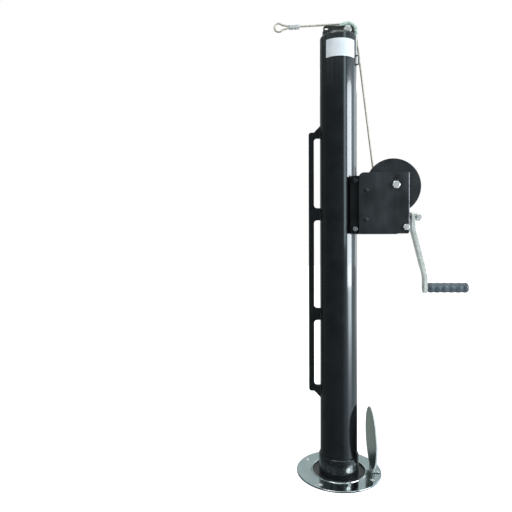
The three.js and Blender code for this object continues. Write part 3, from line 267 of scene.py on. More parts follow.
# Zinc on the staple, gone grey and flat. On the lower bracket bolt the same grey stands for worn paint
# and a painted highlight.
DULL_ZINC_AND_HIGHLIGHT = surface(
    "dulled_zinc_and_highlight",
    ((0.16, 0.18, 0.19), 0.5, 0.42),
    relief=((900, 3), 0.15, 0.0002),
    tint=(320, 3),
    stops=[(0.3, (0.11, 0.125, 0.135)), (0.7, (0.22, 0.24, 0.25))],
)

# Zinc plating on rolled steel: pale, slightly green, with spangle-like patches
ZINC = surface(
    "zinc_plate",
    ((0.5, 0.55, 0.49), 0.35, 0.34),
    relief=((900, 3, (1, 1, 0.04)), 0.12, 0.0002),
    tint=(90, 4),
    stops=[(0.3, (0.53, 0.565, 0.52)), (0.7, (0.7, 0.735, 0.69))],
    matt=(0.24, 0.42),
    matt_noise=(140, 3),
)

# Hobbed gear teeth under a film of old grease, darker in patches
GEAR = surface(
    "gear_steel",
    ((0.3, 0.3, 0.285), 0.65, 0.36),
    relief=((700, 3, (1, 0.2, 1)), 0.15, 0.0002),
    tint=(80, 5),
    stops=[(0.3, (0.19, 0.19, 0.18)), (0.7, (0.42, 0.425, 0.41))],
    matt=(0.26, 0.46),
)

# Bright plated fasteners, with fine turning marks
BRIGHT = surface(
    "bright_steel",
    ((0.72, 0.73, 0.71), 0.55, 0.24),
    relief=((1400, 2), 0.1, 0.0001),
    matt=(0.14, 0.3),
    matt_noise=(260, 3),
)

# Chrome plate over ground steel: long faint grinding marks under the polish
CHROME = surface(
    "polished_chrome",
    ((0.6, 0.66, 0.66), 1, 0.1),
    relief=((700, 4, (1, 0.03, 1)), 0.07, 0.0001),
    matt=(0.05, 0.15),
    matt_noise=(24, 4),
)

# Ground and plated sheet: grey-green, with streaks up the lid
LID = surface(
    "brushed_lid",
    ((0.34, 0.39, 0.37), 1, 0.24),
    relief=((900, 3, (1, 1, 0.04)), 0.1, 0.0001),
    tint=(160, 5, (1, 1, 0.05)),
    stops=[(0.32, (0.135, 0.16, 0.148)), (0.72, (0.27, 0.3, 0.285))],
    matt=(0.16, 0.36),
    Specular_Tint=(0.47, 0.52, 0.5, 1),
)

# The sawn edge of the lid: pale and flat
CUT_EDGE = surface(
    "cut_edge",
    ((0.62, 0.67, 0.66), 0.3, 0.42),
    relief=((700, 3), 0.2, 0.0002),
    tint=(200, 4),
    stops=[(0.3, (0.5, 0.56, 0.55)), (0.7, (0.72, 0.76, 0.75))],
)

# Plain machined bronze, dulled by oil
BRONZE = surface(
    "bronze",
    ((0.42, 0.24, 0.09), 1, 0.32),
    relief=((1100, 2), 0.12, 0.0001),
    tint=(120, 4),
    stops=[(0.3, (0.33, 0.18, 0.07)), (0.75, (0.5, 0.3, 0.12))],
)

# Galvanised casting: grey-green, with a grain from the mould and pale rubbed places
CAST = surface(
    "cast_metal",
    ((0.34, 0.38, 0.36), 0.25, 0.42),
    relief=((500, 4), 0.25, 0.0003),
    tint=(70, 5),
    stops=[(0.28, (0.37, 0.46, 0.41)), (0.72, (0.57, 0.69, 0.62))],
    matt=(0.36, 0.58),
)

# Galvanised wire: beige-grey, with dirt between the strands
ROPE = surface(
    "wire_rope",
    ((0.46, 0.44, 0.38), 0.3, 0.4),
    relief=((2600, 2), 0.3, 0.0001),
    tint=(260, 5),
    stops=[(0.3, (0.36, 0.34, 0.285)), (0.7, (0.62, 0.6, 0.52))],
    matt=(0.34, 0.55),
)

SWAGE = surface(
    "swaged_aluminium",
    ((0.62, 0.63, 0.62), 0.5, 0.34),
    relief=((800, 3), 0.2, 0.0002),
    matt=(0.26, 0.46),
    matt_noise=(220, 4),
)

# Moulded grip: dark blue-grey and matt, with a fine grain
GRIP = surface(
    "grip_rubber",
    ((0.045, 0.053, 0.06), 0, 0.42),
    relief=((1800, 2), 0.25, 0.0002),
    tint=(60, 5),
    stops=[(0.3, (0.04, 0.054, 0.066)), (0.75, (0.082, 0.103, 0.12))],
    matt=(0.34, 0.52),
)

# Plain white vinyl, slightly creased
LABEL = surface(
    "blank_label",
    ((0.83, 0.85, 0.86), 0, 0.34),
    relief=((140, 3), 0.08, 0.0003),
    tint=(40, 3),
    stops=[(0.3, (0.57, 0.61, 0.64)), (0.7, (0.66, 0.69, 0.71))],
)


# Ways to make a piece
def finished(name, bm, material, body, replaced=(), sharp=35):
    """A bmesh in millimetres becomes a piece in metres, with smooth faces up to a sharp angle."""
    mesh = bpy.data.meshes.new(name)
    bm.to_mesh(mesh)
    bm.free()
    mesh.transform(Matrix.Scale(MM, 4))
    for polygon in mesh.polygons:
        polygon.use_smooth = True
    mesh.set_sharp_from_angle(angle=math.radians(sharp))
    keep_flats(mesh)
    mesh.materials.clear()
    mesh.materials.append(material)
    piece = placed(name, mesh)
    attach(piece, body)
    if replaced:
        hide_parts(*replaced)
    return piece


def keep_flats(mesh):
    """A broad face keeps its own shading beside the narrow faces of a rounded edge."""
    areas = [polygon.area for polygon in mesh.polygons]
    sides = [[] for _ in mesh.edges]
    for polygon in mesh.polygons:
        for loop in polygon.loop_indices:
            sides[mesh.loops[loop].edge_index].append(polygon.index)
    for edge, faces in zip(mesh.edges, sides):
        if len(faces) != 2:
            continue
        first, second = (mesh.polygons[i] for i in faces)
        low, high = sorted(areas[i] for i in faces)
        if high > 7 * low and first.normal.angle(second.normal, 0) > math.radians(3):
            edge.use_edge_sharp = True


def closed(bm):
    """Welds what a full turn leaves double, and points the faces outwards."""
    bmesh.ops.remove_doubles(bm, verts=bm.verts, dist=0.001)
    bmesh.ops.recalc_face_normals(bm, faces=bm.faces)
    return bm


TURN_AXES = {"x": Vector((1, 0, 0)), "y": Vector((0, 1, 0)), "z": Vector((0, 0, 1))}
SIDE_AXES = {"x": Vector((0, 1, 0)), "y": Vector((1, 0, 0)), "z": Vector((1, 0, 0))}


def lathe(axis, profile, centre, steps=96, closed_profile=False):
    """Turns a profile of (radius, place along the axis) about the axis through centre."""
    along, out = TURN_AXES[axis], SIDE_AXES[axis]
    centre = Vector(centre)
    bm = bmesh.new()
    verts = [bm.verts.new(centre + out * radius + along * place) for radius, place in profile]
    edges = [bm.edges.new(pair) for pair in zip(verts, verts[1:])]
    if closed_profile:
        edges.append(bm.edges.new((verts[-1], verts[0])))
    bmesh.ops.spin(
        bm, geom=verts + edges, cent=centre, axis=along, angle=FULL, steps=steps, use_merge=True
    )
    return closed(bm)


def rounded(profile, radii, segments=4):
    """A profile whose corners are turned into arcs; radii holds one radius for each corner."""
    made = []
    count = len(profile)
    for i, (corner, radius) in enumerate(zip(profile, radii)):
        if not radius:
            made.append(corner)
            continue
        here = Vector(corner)
        back = (Vector(profile[i - 1]) - here).normalized()
        on = (Vector(profile[(i + 1) % count]) - here).normalized()
        half = back.angle(on) / 2
        start = here + back * (radius / math.tan(half))
        end = here + on * (radius / math.tan(half))
        centre = here + (back + on).normalized() * (radius / math.sin(half))
        for step in range(segments + 1):
            point = start.lerp(end, step / segments) - centre
            made.append(tuple(centre + point.normalized() * radius))
    return made


def slab(axis, outline, low, high):
    """A flat outline in the other two coordinates, given thickness along an axis."""
    order = {"x": (1, 2, 0), "y": (0, 2, 1), "z": (0, 1, 2)}[axis]
    bm = bmesh.new()
    verts = []
    for first, second in outline:
        place = [0, 0, 0]
        place[order[0]], place[order[1]], place[order[2]] = first, second, low
        verts.append(bm.verts.new(place))
    face = bm.faces.new(verts)
    grown = bmesh.ops.extrude_face_region(bm, geom=[face])
    moved = [v for v in grown["geom"] if isinstance(v, bmesh.types.BMVert)]
    bmesh.ops.translate(bm, verts=moved, vec=TURN_AXES[axis] * (high - low))
    return closed(bm)


def softened(bm, width, segments=2, angle=30):
    """Rounds every edge that is sharper than the angle."""
    limit = math.radians(angle)
    edges = [e for e in bm.edges if len(e.link_faces) == 2 and e.calc_face_angle(0) > limit]
    bmesh.ops.bevel(
        bm,
        geom=edges,
        offset=width,
        offset_type="OFFSET",
        affect="EDGES",
        segments=segments,
        profile=0.5,
        clamp_overlap=True,
        material=-1,
    )
    return bm


def from_node(name):
    """A welded copy of a CAD node, in millimetres, with its flat faces whole."""
    bm = bmesh.new()
    bm.from_mesh(nodes[name].data)
    bmesh.ops.scale(bm, vec=(1 / MM, 1 / MM, 1 / MM), verts=bm.verts)
    bmesh.ops.remove_doubles(bm, verts=bm.verts, dist=0.002)
    bmesh.ops.dissolve_limit(bm, angle_limit=math.radians(0.6), verts=bm.verts, edges=bm.edges)
    return bm


def carved(bm, tools, operation):
    """Works the tools into the body. All are bmeshes in millimetres."""
    mesh = bpy.data.meshes.new("body")
    bm.to_mesh(mesh)
    body = placed("body", mesh)
    made = [body]
    for tool in tools:
        tool_mesh = bpy.data.meshes.new("tool")
        tool.to_mesh(tool_mesh)
        tool.free()
        tool_object = placed("tool", tool_mesh)
        made.append(tool_object)
        modifier = body.modifiers.new("carved", "BOOLEAN")
        modifier.operation = operation
        modifier.solver = "EXACT"
        modifier.object = tool_object
    bpy.context.view_layer.update()
    result = body.evaluated_get(bpy.context.evaluated_depsgraph_get())
    bm.clear()
    bm.from_mesh(result.to_mesh())
    result.to_mesh_clear()
    for item in made:
        data = item.data
        bpy.data.objects.remove(item)
        bpy.data.meshes.remove(data)
    return bm


def cut(bm, *tools):
    return carved(bm, tools, "DIFFERENCE")


def kept_inside(bm, *tools):
    return carved(bm, tools, "INTERSECT")


def block(low, high):
    bm = bmesh.new()
    bmesh.ops.create_cube(bm, size=1)
    low, high = Vector(low), Vector(high)
    bmesh.ops.scale(bm, vec=high - low, verts=bm.verts)
    bmesh.ops.translate(bm, vec=(low + high) / 2, verts=bm.verts)
    return bm


def rod(axis, radius, low, high, centre, steps=48):
    return lathe(axis, [(0, low), (radius, low), (radius, high), (0, high)], centre, steps)


def joined(*parts):
    """Several bmeshes in one, each still its own shell."""
    bm = parts[0]
    for other in parts[1:]:
        mesh = bpy.data.meshes.new("other")
        other.to_mesh(mesh)
        other.free()
        bm.from_mesh(mesh)
        bpy.data.meshes.remove(mesh)
    return bm


# Fasteners
def hexagon(axis, flats, low, high, centre):
    """A hexagonal head or nut with its corners turned off at 30 degrees."""
    corner = flats / math.sqrt(3)
    turn = math.radians(90) if axis == "x" else 0
    across, up = centre[1 if axis == "x" else 0], centre[2]
    outline = []
    for i in range(6):
        angle = turn + FULL * i / 6
        outline.append((across + corner * math.cos(angle), up + corner * math.sin(angle)))
    turned = 0.475 * flats
    fall = (corner + 0.1 - turned) * math.tan(math.radians(30))
    cone = [(0, low), (turned, low), (corner + 0.1, low + fall)]
    cone += [(corner + 0.1, high - fall), (turned, high), (0, high)]
    return kept_inside(slab(axis, outline, low, high), lathe(axis, cone, centre, 48))


def threaded(radius, start, thread, end, pitch):
    """The profile of a shank with a thread on its end."""
    depth = 0.55 * pitch
    profile = [(0, start), (radius, start), (radius, thread)]
    place = thread
    while place + pitch < end:
        profile += [(radius - depth, place + pitch / 2), (radius, place + pitch)]
        place += pitch
    profile += [(radius - depth * 1.3, end), (0, end)]
    return profile


def nut_body(axis, size, low, high, centre):
    hole = size["radius"] + 0.1
    tool = [(0, low - 1), (hole + 1.6, low - 1), (hole, low + 0.6)]
    tool += [(hole, high - 0.6), (hole + 1.6, high + 1), (0, high + 1)]
    return cut(hexagon(axis, size["flats"], low, high, centre), lathe(axis, tool, centre, 40))


def bolt_across(name, nut_name, size, face, x, z, material):
    """A bolt along Y, head towards the front, and its nut."""
    centre = (x, 0, z)
    head_low = -face - TOUCH - size["head"]
    nut_low = face + TOUCH
    nut_high = nut_low + size["nut"]
    shank = threaded(size["radius"], head_low + 1, nut_low - 3, nut_high + BOLT_END, size["pitch"])
    head = hexagon("y", size["flats"], head_low, -face - TOUCH, centre)
    bolt_bm = joined(head, lathe("y", shank, centre, 48))
    finished(name + "_hex", bolt_bm, material, "post", [name], 25)
    nut_bm = nut_body("y", size, nut_low, nut_high, centre)
    finished(nut_name + "_hex", nut_bm, material, "post", [nut_name], 25)


def rivet(name, axis, centre, low, high, head, height, body, material, both_heads=True):
    """A rivet with a domed head on its high end, or one on each end."""
    shank = 0.6 * head
    turns = [i / 8 * math.pi / 2 for i in range(9)]
    profile = [(0, low)]
    if both_heads:
        profile = [(head * math.sin(turn), low - height * math.cos(turn)) for turn in turns]
    profile += [(shank, low), (shank, high)]
    profile += [(head * math.cos(turn), high + height * math.sin(turn)) for turn in turns]
    bm = lathe(axis, profile, centre, 32)
    finished(name + "_head", bm, material, body, [name], 50)


# Cable: six strands round a core, drawn as one twisted rope along each path
def strand_section(radius, strands=6, points_each=4):
    """The outline of a rope across its length: a circle with one lobe for each strand."""
    curve = bpy.data.curves.new("strand_section", "CURVE")
    curve.dimensions = "2D"
    spline = curve.splines.new("POLY")
    count = strands * points_each
    spline.points.add(count - 1)
    depth = 0.13 * radius
    for i, point in enumerate(spline.points):
        lobe = abs(math.sin(i / points_each * math.pi))
        reach = (radius - depth * (1 - lobe)) * MM
        angle = FULL * i / count
        point.co = (reach * math.cos(angle), reach * math.sin(angle), 0, 1)
    spline.use_cyclic_u = True
    return placed("strand_section", curve)


def drawn_curve(curve):
    """The surface of a curve, as a bmesh in the curve's own unit."""
    holder = placed(curve.name, curve)
    bpy.context.view_layer.update()
    graph = bpy.context.evaluated_depsgraph_get()
    drawn = bpy.data.meshes.new_from_object(holder.evaluated_get(graph))
    bm = bmesh.new()
    bm.from_mesh(drawn)
    bpy.data.objects.remove(holder)
    bpy.data.meshes.remove(drawn)
    return bm


def evenly(points, step):
    """Points a step apart along a path."""
    made = [points[0].copy()]
    left = step
    for start, end in zip(points, points[1:]):
        run = end - start
        length = run.length
        at = left
        while at < length:
            made.append(start + run * (at / length))
            at += step
        left = at - length
    made.append(points[-1].copy())
    return made


def rope(name, points, radius, step=1.3, lay=34):
    """A rope along points in millimetres; its lobes turn once in each lay."""
    path = evenly(points, step)
    curve = bpy.data.curves.new(name, "CURVE")
    curve.dimensions = "3D"
    curve.twist_mode = "MINIMUM"
    spline = curve.splines.new("POLY")
    spline.points.add(len(path) - 1)
    for i, (point, place) in enumerate(zip(spline.points, path)):
        point.co = (*(place * MM), 1)
        point.tilt = FULL * i * step / lay
    section = strand_section(radius)
    curve.bevel_mode = "OBJECT"
    curve.bevel_object = section
    curve.use_fill_caps = True
    bm = drawn_curve(curve)
    bmesh.ops.scale(bm, vec=(1 / MM, 1 / MM, 1 / MM), verts=bm.verts)
    bpy.data.objects.remove(section)
    return closed(bm), path


def round_y(centre, radius, angle, y=0.0):
    return Vector((centre.x + radius * math.cos(angle), y, centre.z + radius * math.sin(angle)))


winding_radius = DRUM + WINDING_GAP + CABLE
to_pulley = Vector((PULLEY.x - REEL.x, PULLEY.z - REEL.z))
crossing = math.acos((ROPE_ON_PULLEY + winding_radius) / to_pulley.length)
leaves_reel = math.atan2(to_pulley.y, to_pulley.x) + crossing
meets_pulley = leaves_reel - math.pi
leaves_pulley = math.pi / 2 + TAIL_SLOPE
winding_start = FLANGE_BACK + WINDING_GAP + CABLE
winding_end = winding_start + WINDING_TURNS * WINDING_PITCH


def cable_route():
    """Round the drum, straight up to the pulley and over it."""
    points = []
    steps = round(WINDING_TURNS * 60)
    for i in range(steps + 1):
        angle = leaves_reel + FULL * WINDING_TURNS * (1 - i / steps)
        y = winding_start + (winding_end - winding_start) * i / steps
        points.append(round_y(REEL, winding_radius, angle, y))
    points.append(round_y(PULLEY, ROPE_ON_PULLEY, meets_pulley))
    wrap = 24
    for i in range(1, wrap + 1):
        angle = meets_pulley + (leaves_pulley - meets_pulley) * i / wrap
        points.append(round_y(PULLEY, ROPE_ON_PULLEY, angle))
    return points


tail_run = Vector((-math.cos(TAIL_SLOPE), 0, -math.sin(TAIL_SLOPE)))
tail_up = Vector((tail_run.z, 0, -tail_run.x))
tail_start = round_y(PULLEY, ROPE_ON_PULLEY, leaves_pulley) + tail_run * TOUCH


def on_tail(distance, rise=0.0):
    return tail_start + tail_run * distance + tail_up * rise


tail_bm, tail_path = rope("net_cable_tail", [on_tail(0), on_tail(TAIL_LENGTH)], CABLE)
tail = finished("net_cable_tail", tail_bm, ROPE, "post", ["cable_tail"], 60)

# Ferrule pressed over both ends of the eye
FERRULE = {"length": 26, "radius": 4.2, "apart": 5.4}
EYE = {"length": 34, "radius": 10}


def ferrule_body():
    """An oval sleeve with pressed waists across it."""
    start = TAIL_LENGTH + TOUCH
    half = FERRULE["apart"] / 2
    rings = []
    bm = bmesh.new()
    stations = 40
    for station in range(stations + 1):
        share = station / stations
        end_fall = 1.4 * max(0, 1 - min(share, 1 - share) * FERRULE["length"] / 1.6) ** 2
        waist = 0.35 * math.sin(share * 3 * math.pi) ** 2
        radius = FERRULE["radius"] - end_fall - waist
        ring = []
        for i in range(32):
            angle = FULL * (i + 0.5) / 32
            rise = radius * math.sin(angle) + math.copysign(half, math.sin(angle))
            aside = radius * math.cos(angle)
            place = on_tail(start + share * FERRULE["length"], rise) + Vector((0, aside, 0))
            ring.append(bm.verts.new(place))
        rings.append(ring)
    loops = []
    for ring in rings:
        loops.append([bm.edges.new((ring[i - 1], ring[i])) for i in range(len(ring))])
    for a, b in zip(loops, loops[1:]):
        bmesh.ops.bridge_loops(bm, edges=a + b)
    bmesh.ops.holes_fill(bm, edges=loops[0] + loops[-1], sides=0)
    return closed(bm)


ferrule = finished("ferrule_sleeve", ferrule_body(), SWAGE, "post", ["cable_ferrule"])


def eye_points():
    start = TAIL_LENGTH + 2 * TOUCH + FERRULE["length"]
    half = FERRULE["apart"] / 2
    length, radius = EYE["length"], EYE["radius"]
    centre = start + length - radius
    touch = math.acos((radius - half) / math.hypot(length - radius, radius - half)) / 2
    points = [on_tail(start, half), on_tail(start + CABLE, half)]
    open_angle = math.pi - touch
    for i in range(49):
        angle = open_angle - 2 * open_angle * i / 48
        points.append(on_tail(centre + radius * math.cos(angle), radius * math.sin(angle)))
    points += [on_tail(start + CABLE, -half), on_tail(start, -half)]
    return points


eye_bm, _ = rope("rope_eye", eye_points(), CABLE - 0.02)
eye = finished("rope_eye", eye_bm, ROPE, "post", ["cable_eye"], 60)

route_bm, _ = rope("wound_cable", cable_route(), CABLE, 1.6)
finished("wound_cable", route_bm, ROPE, "post", ["net_cable"], 60)

# Post tube, with its slot for the pulley
tube_profile = rounded(
    [(BORE, TUBE_BOTTOM), (TUBE, TUBE_BOTTOM), (TUBE, TUBE_TOP), (BORE, TUBE_TOP)], [0, 1.2, 1.2, 0.6]
)
SLOT_FLOOR = PULLEY.z - 28.5


def pulley_slot():
    """What is cut away for the pulley from the tube and the cap."""
    return block((-7.8, -9, SLOT_FLOOR), (60, 9, 1100))


tube_bm = cut(
    lathe("z", tube_profile, ORIGIN, 144, True),
    pulley_slot(),
    block((37.25, -4.5, SLOT_FLOOR - 18), (60, 4.5, SLOT_FLOOR + 4)),
    *[rod("y", 4.3, -60, 60, (BRACKET_BOLT_X, 0, height), 24) for height in BRACKET_BOLTS],
)
finished("steel_tube", tube_bm, GLOSS, "post", ["post_tube"])


# Cap: its plug and shoulder are turned, and two cheeks stand on it beside the pulley
def cap_body():
    base, top, radius = 1043.3, 1050.1, 38.5
    plug = BORE - TOUCH
    shoulder = TUBE - 1.2
    profile = [(0, base - 28), (plug - 1.2, base - 28), (plug, base - 26.8), (plug, base)]
    profile.append((shoulder, base))
    for i in range(1, 13):
        turn = i / 12 * math.pi / 2
        run = shoulder - radius
        profile.append((radius + run * math.cos(turn), base + 4 * math.sin(turn)))
    profile += [(radius, top - 1.2), (radius - 0.35, top - 0.35), (radius - 1.2, top), (0, top)]
    body = lathe("z", profile, ORIGIN, 144)
    corners = [(-37, top - TOUCH), (37, top - TOUCH), (37, top + 20), (-37, top + 20)]
    outline = rounded(corners, [0, 0, 11.4, 6], 12)
    cheeks = []
    for aside in (-1, 1):
        low, high = sorted((aside * 9, aside * CHEEK_FACE))
        cheek = softened(slab("y", outline, low, high), 0.7, 3)
        cheeks.append(kept_inside(cheek, rod("z", radius, 1040, 1080, ORIGIN, 96)))
    body = carved(body, cheeks, "UNION")
    hole = [(-34, 1060.2), (-25, 1060.2), (-25, 1065.8), (-34, 1065.8)]
    tie_hole = slab("y", rounded(hole, [2.79] * 4, 10), -30, 30)
    bolt_hole = rod("y", 5.3, -30, 30, (PULLEY.x, 0, PULLEY.z), 40)
    return cut(body, pulley_slot(), bolt_hole, tie_hole)


finished("cast_cap", cap_body(), CAP, "post", ["top_cap"], 30)


# Blank label round the front of the tube
def label_sheet():
    low, high = 987, 1028.5
    first, sweep = math.radians(-45.5), math.radians(96)
    bm = bmesh.new()
    radius = TUBE + 0.12
    verts = [bm.verts.new((0, -radius, low)), bm.verts.new((0, -radius, high))]
    bmesh.ops.rotate(bm, verts=verts, cent=ORIGIN, matrix=Matrix.Rotation(first, 3, "Z"))
    edge = bm.edges.new(verts)
    bmesh.ops.spin(bm, geom=[*verts, edge], cent=ORIGIN, axis=(0, 0, 1), angle=sweep, steps=40)
    bmesh.ops.recalc_face_normals(bm, faces=bm.faces)
    bmesh.ops.solidify(bm, geom=bm.faces[:], thickness=0.1)
    bmesh.ops.recalc_face_normals(bm, faces=bm.faces)
    return bm


finished("blank_label", label_sheet(), LABEL, "post")

# Collar with its set screw
COLLAR_FACE = 47.5
SET_SCREW_CENTRE = (0, 0, 24)
SET_SCREW_TURN = Matrix.Rotation(math.radians(-71), 3, "Z")
collar_profile = rounded(
    [(ROUND_TUBE, 0), (COLLAR_FACE, 0), (COLLAR_FACE, 45), (ROUND_TUBE, 45)], [0, 1.5, 1.5, 0.5]
)
collar_hole = rod("x", 3.3, 0, 60, SET_SCREW_CENTRE, 32)
bmesh.ops.rotate(collar_hole, verts=collar_hole.verts, cent=ORIGIN, matrix=SET_SCREW_TURN)
collar_bm = cut(lathe("z", collar_profile, ORIGIN, 144, True), collar_hole)
finished("collar_ring", collar_bm, COLLAR, "post", ["floor_collar"])

# Floor plate: polished, with a rolled rim round its hole
PLATE_TOP = 3.2
LEAF_RIVETS = ((91.5, -15.7, 0), (91.5, 15.7, 0))
PLATE_SCREWS = []
for i in range(4):
    angle = math.radians(-34 + 90 * i)
    PLATE_SCREWS.append((88 * math.cos(angle), 88 * math.sin(angle), 0))
plate_profile = rounded(
    [(63.5, 0), (101.6, 0), (101.6, PLATE_TOP), (67.2, PLATE_TOP), (66.2, 4.6), (64, 4.6), (63.5, 3.6)],
    [0, 0, 1.2, 0.4, 0.6, 0.5, 0],
)
sink = [(0, -1), (2.9, -1), (2.9, 0.5), (5.3, PLATE_TOP), (5.3, 5), (0, 5)]
plate_holes = [lathe("z", sink, place, 40) for place in PLATE_SCREWS]
plate_holes += [rod("z", 2.2, -1, 5, place, 24) for place in LEAF_RIVETS]
plate_bm = cut(lathe("z", plate_profile, ORIGIN, 160, True), *plate_holes)
finished("polished_plate", plate_bm, CHROME, "ground", ["floor_plate"], 30)

# Lid: a ground disc with a rounded rim
inner, outer = 76.5, 80.5
lid_profile = rounded(
    [(0, inner), (60, inner), (71, inner), (71, outer), (62, outer), (0, outer)],
    [0, 0, 0.9, 1.1, 0, 0],
)
lid_bm = lathe("x", lid_profile, (0, 0, 82.2), 144)
lid = finished("lid_disc", lid_bm, LID, "lid", ["lid"], 30)
lid.data.materials.append(CUT_EDGE)
for polygon in lid.data.polygons:
    if abs(polygon.normal.x) < 0.6:
        polygon.material_index = 1

# Pulley: a grooved wheel with a hub and a dished web
groove = []
depth = CABLE + TOUCH
for i in range(13):
    angle = math.pi * i / 12
    groove.append((ROPE_ON_PULLEY - depth * math.sin(angle), -depth * math.cos(angle)))
side = [(6.8, 8.7), (9, 8.7), (9, 5), (17.5, 4.2), (19.6, 7), (23.9, 7), (25.5, 5.6), (25.1, 4.8)]
side_radii = [0, 0.6, 1, 1, 1, 0.6, 0.4, 0.3]
pulley_profile = rounded(
    [(radius, -place) for radius, place in side] + groove + side[::-1],
    side_radii + [0] * len(groove) + side_radii[::-1],
)
pulley_bm = lathe("y", pulley_profile, PULLEY, 120, True)
finished("grooved_pulley", pulley_bm, CAST, "pulley", ["pulley"])

# Reel: its flange, drum and hub
reel_profile = rounded(
    [
        (10.3, -46.4),
        (14, -46.4),
        (14, -28),
        (65, -28),
        (65, FLANGE_BACK),
        (DRUM, FLANGE_BACK),
        (DRUM, 15.7),
        (14, 15.7),
        (14, 46.4),
        (10.3, 46.4),
    ],
    [0, 0.8, 1.5, 0.9, 0.9, 1, 0.3, 0, 0.8, 0],
)
reel_cuts = []
for i in range(4):
    angle = FULL * (i + 0.5) / 4
    place = (REEL.x + 21 * math.cos(angle), 0, REEL.z + 21 * math.sin(angle))
    reel_cuts.append(rod("y", 5, -40, -20, place, 32))
reel_bm = cut(lathe("y", reel_profile, REEL, 144, True), *reel_cuts)
finished("reel_body", reel_bm, SATIN, "reel", ["reel"])


# Grip: five finger swells, a rounded end and a flat collar at the arm
def grip_profile():
    start, end, radius, rounding = 221.5, 318.5, 12.4, 7
    profile = [(0, 308), (4.3, 308), (4.3, start), (10.9, start), (11.6, start + 0.8)]
    swells_start, swells_end = start + 5, end - rounding
    steps = 80
    for i in range(steps + 1):
        share = i / steps
        dip = 1 - abs(math.cos(share * 5 * math.pi)) ** 1.4
        profile.append((radius - dip, swells_start + (swells_end - swells_start) * share))
    for i in range(1, 9):
        turn = i / 9 * math.pi / 2
        fall = rounding * (1 - math.cos(turn))
        profile.append((radius - fall, swells_end + rounding * math.sin(turn)))
    profile += [(radius - rounding, end), (0, end)]
    return profile


grip_bm = lathe("x", grip_profile(), (0, *GRIP_AXIS), 72)
finished("finger_grip", grip_bm, GRIP, "grip", ["hand_grip"], 40)


# Guard staple: bent wire, welded on by its two feet
def bent_wire(corners, radius, bend, steps=8):
    path = [corners[0]]
    for before, here, after in zip(corners, corners[1:], corners[2:]):
        back, on = (before - here).normalized(), (after - here).normalized()
        for i in range(steps + 1):
            share = i / steps
            a, b = here + back * bend * (1 - share), here + on * bend * share
            path.append(a.lerp(b, share))
    path.append(corners[-1])
    curve = bpy.data.curves.new("wire", "CURVE")
    curve.dimensions = "3D"
    spline = curve.splines.new("POLY")
    spline.points.add(len(path) - 1)
    for point, place in zip(spline.points, path):
        point.co = (*place, 1)
    curve.bevel_depth = radius
    curve.bevel_resolution = 6
    curve.use_fill_caps = True
    return closed(drawn_curve(curve))


staple_turn = Matrix.Rotation(math.radians(-25), 3, "Z")
staple_corners = [
    staple_turn @ Vector(place)
    for place in [(44.6, 0, 975), (50.35, 0, 975), (50.35, 0, 996), (44.6, 0, 996)]
]
staple_bm = bent_wire(staple_corners, 2, 3.2)
finished("wire_staple", staple_bm, DULL_ZINC_AND_HIGHLIGHT, "post", ["guard_staple"])

# Pieces that keep their CAD shape, with the edges rounded as the real ones are
SOFT_EDGES = {
    "lacing_bar": (GLOSS, "post", "gloss_black", 0.9),
    "winch_bracket": (SHADED_BRACKET, "post", "satin_black", 0.7),
    "winch_front_plate": (SIDE_PLATE, "post", "satin_black", 1.0),
    "winch_rear_plate": (SIDE_PLATE, "post", "satin_black", 1.0),
    "worm_bearing_plate": (SATIN, "post", "satin_black", 0.6),
    "spacer_tube": (SATIN, "post", "satin_black", 0.3),
    "crank_arm": (ZINC, "crank", "zinc", 1.1),
    "worm_shaft": (GEAR, "crank", "zinc", 0.25),
    "worm_wheel": (GEAR, "reel", "cast_metal", 0.3),
    "hinge_leaf": (CHROME, "ground", "chrome", 0.3),
    "lid_strap": (CHROME, "lid", "chrome", 0.3),
    "hinge_pin": (BRIGHT, "ground", "bright_steel", 0.4),
    "grip_pin": (ZINC, "crank", "zinc", 0.4),
}
for name, (material, body, slot, width) in SOFT_EDGES.items():
    piece_bm = softened(from_node(name), width)
    finished(name + "_eased", piece_bm, material, body, [name])

# Bolts, the set screw, rivets and plate screws
bolt_across("pulley_bolt", "pulley_nut", M10, CHEEK_FACE, PULLEY.x, PULLEY.z, BRIGHT)
bolt_across("reel_axle", "reel_axle_nut", M10, SIDE_FACE, REEL.x, REEL.z, BRIGHT)
bolt_across("spacer_bolt", "spacer_nut", M8, SIDE_FACE, 148.7, 590, BRIGHT)
for number, height in enumerate(BRACKET_BOLTS, 1):
    bolt, nut = f"bracket_bolt_{number}", f"bracket_nut_{number}"
    # The lower bolt takes the pale zinc, as worn paint and a painted highlight; the upper one, the same
    # fastener, stays black.
    material = DULL_ZINC_AND_HIGHLIGHT if number == 1 else SATIN
    bolt_across(bolt, nut, M6, BRACKET_FACE, BRACKET_BOLT_X, height, material)

crank_nut_bm = nut_body("x", {"radius": 4, "flats": 17}, 192, 202, (0, *CRANK_AXIS))
finished("crank_nut_hex", crank_nut_bm, BRIGHT, "crank", ["crank_nut"], 25)


def set_screw():
    head = hexagon("x", M6["flats"], COLLAR_FACE + TOUCH, 52.3, SET_SCREW_CENTRE)
    shank = threaded(M6["radius"], ROUND_TUBE, ROUND_TUBE + 0.05, 48.4, M6["pitch"])
    screw = joined(head, lathe("x", shank, SET_SCREW_CENTRE, 32))
    bmesh.ops.rotate(screw, verts=screw.verts, cent=ORIGIN, matrix=SET_SCREW_TURN)
    return screw


finished("collar_screw_hex", set_screw(), BRIGHT, "post", ["collar_screw"], 25)

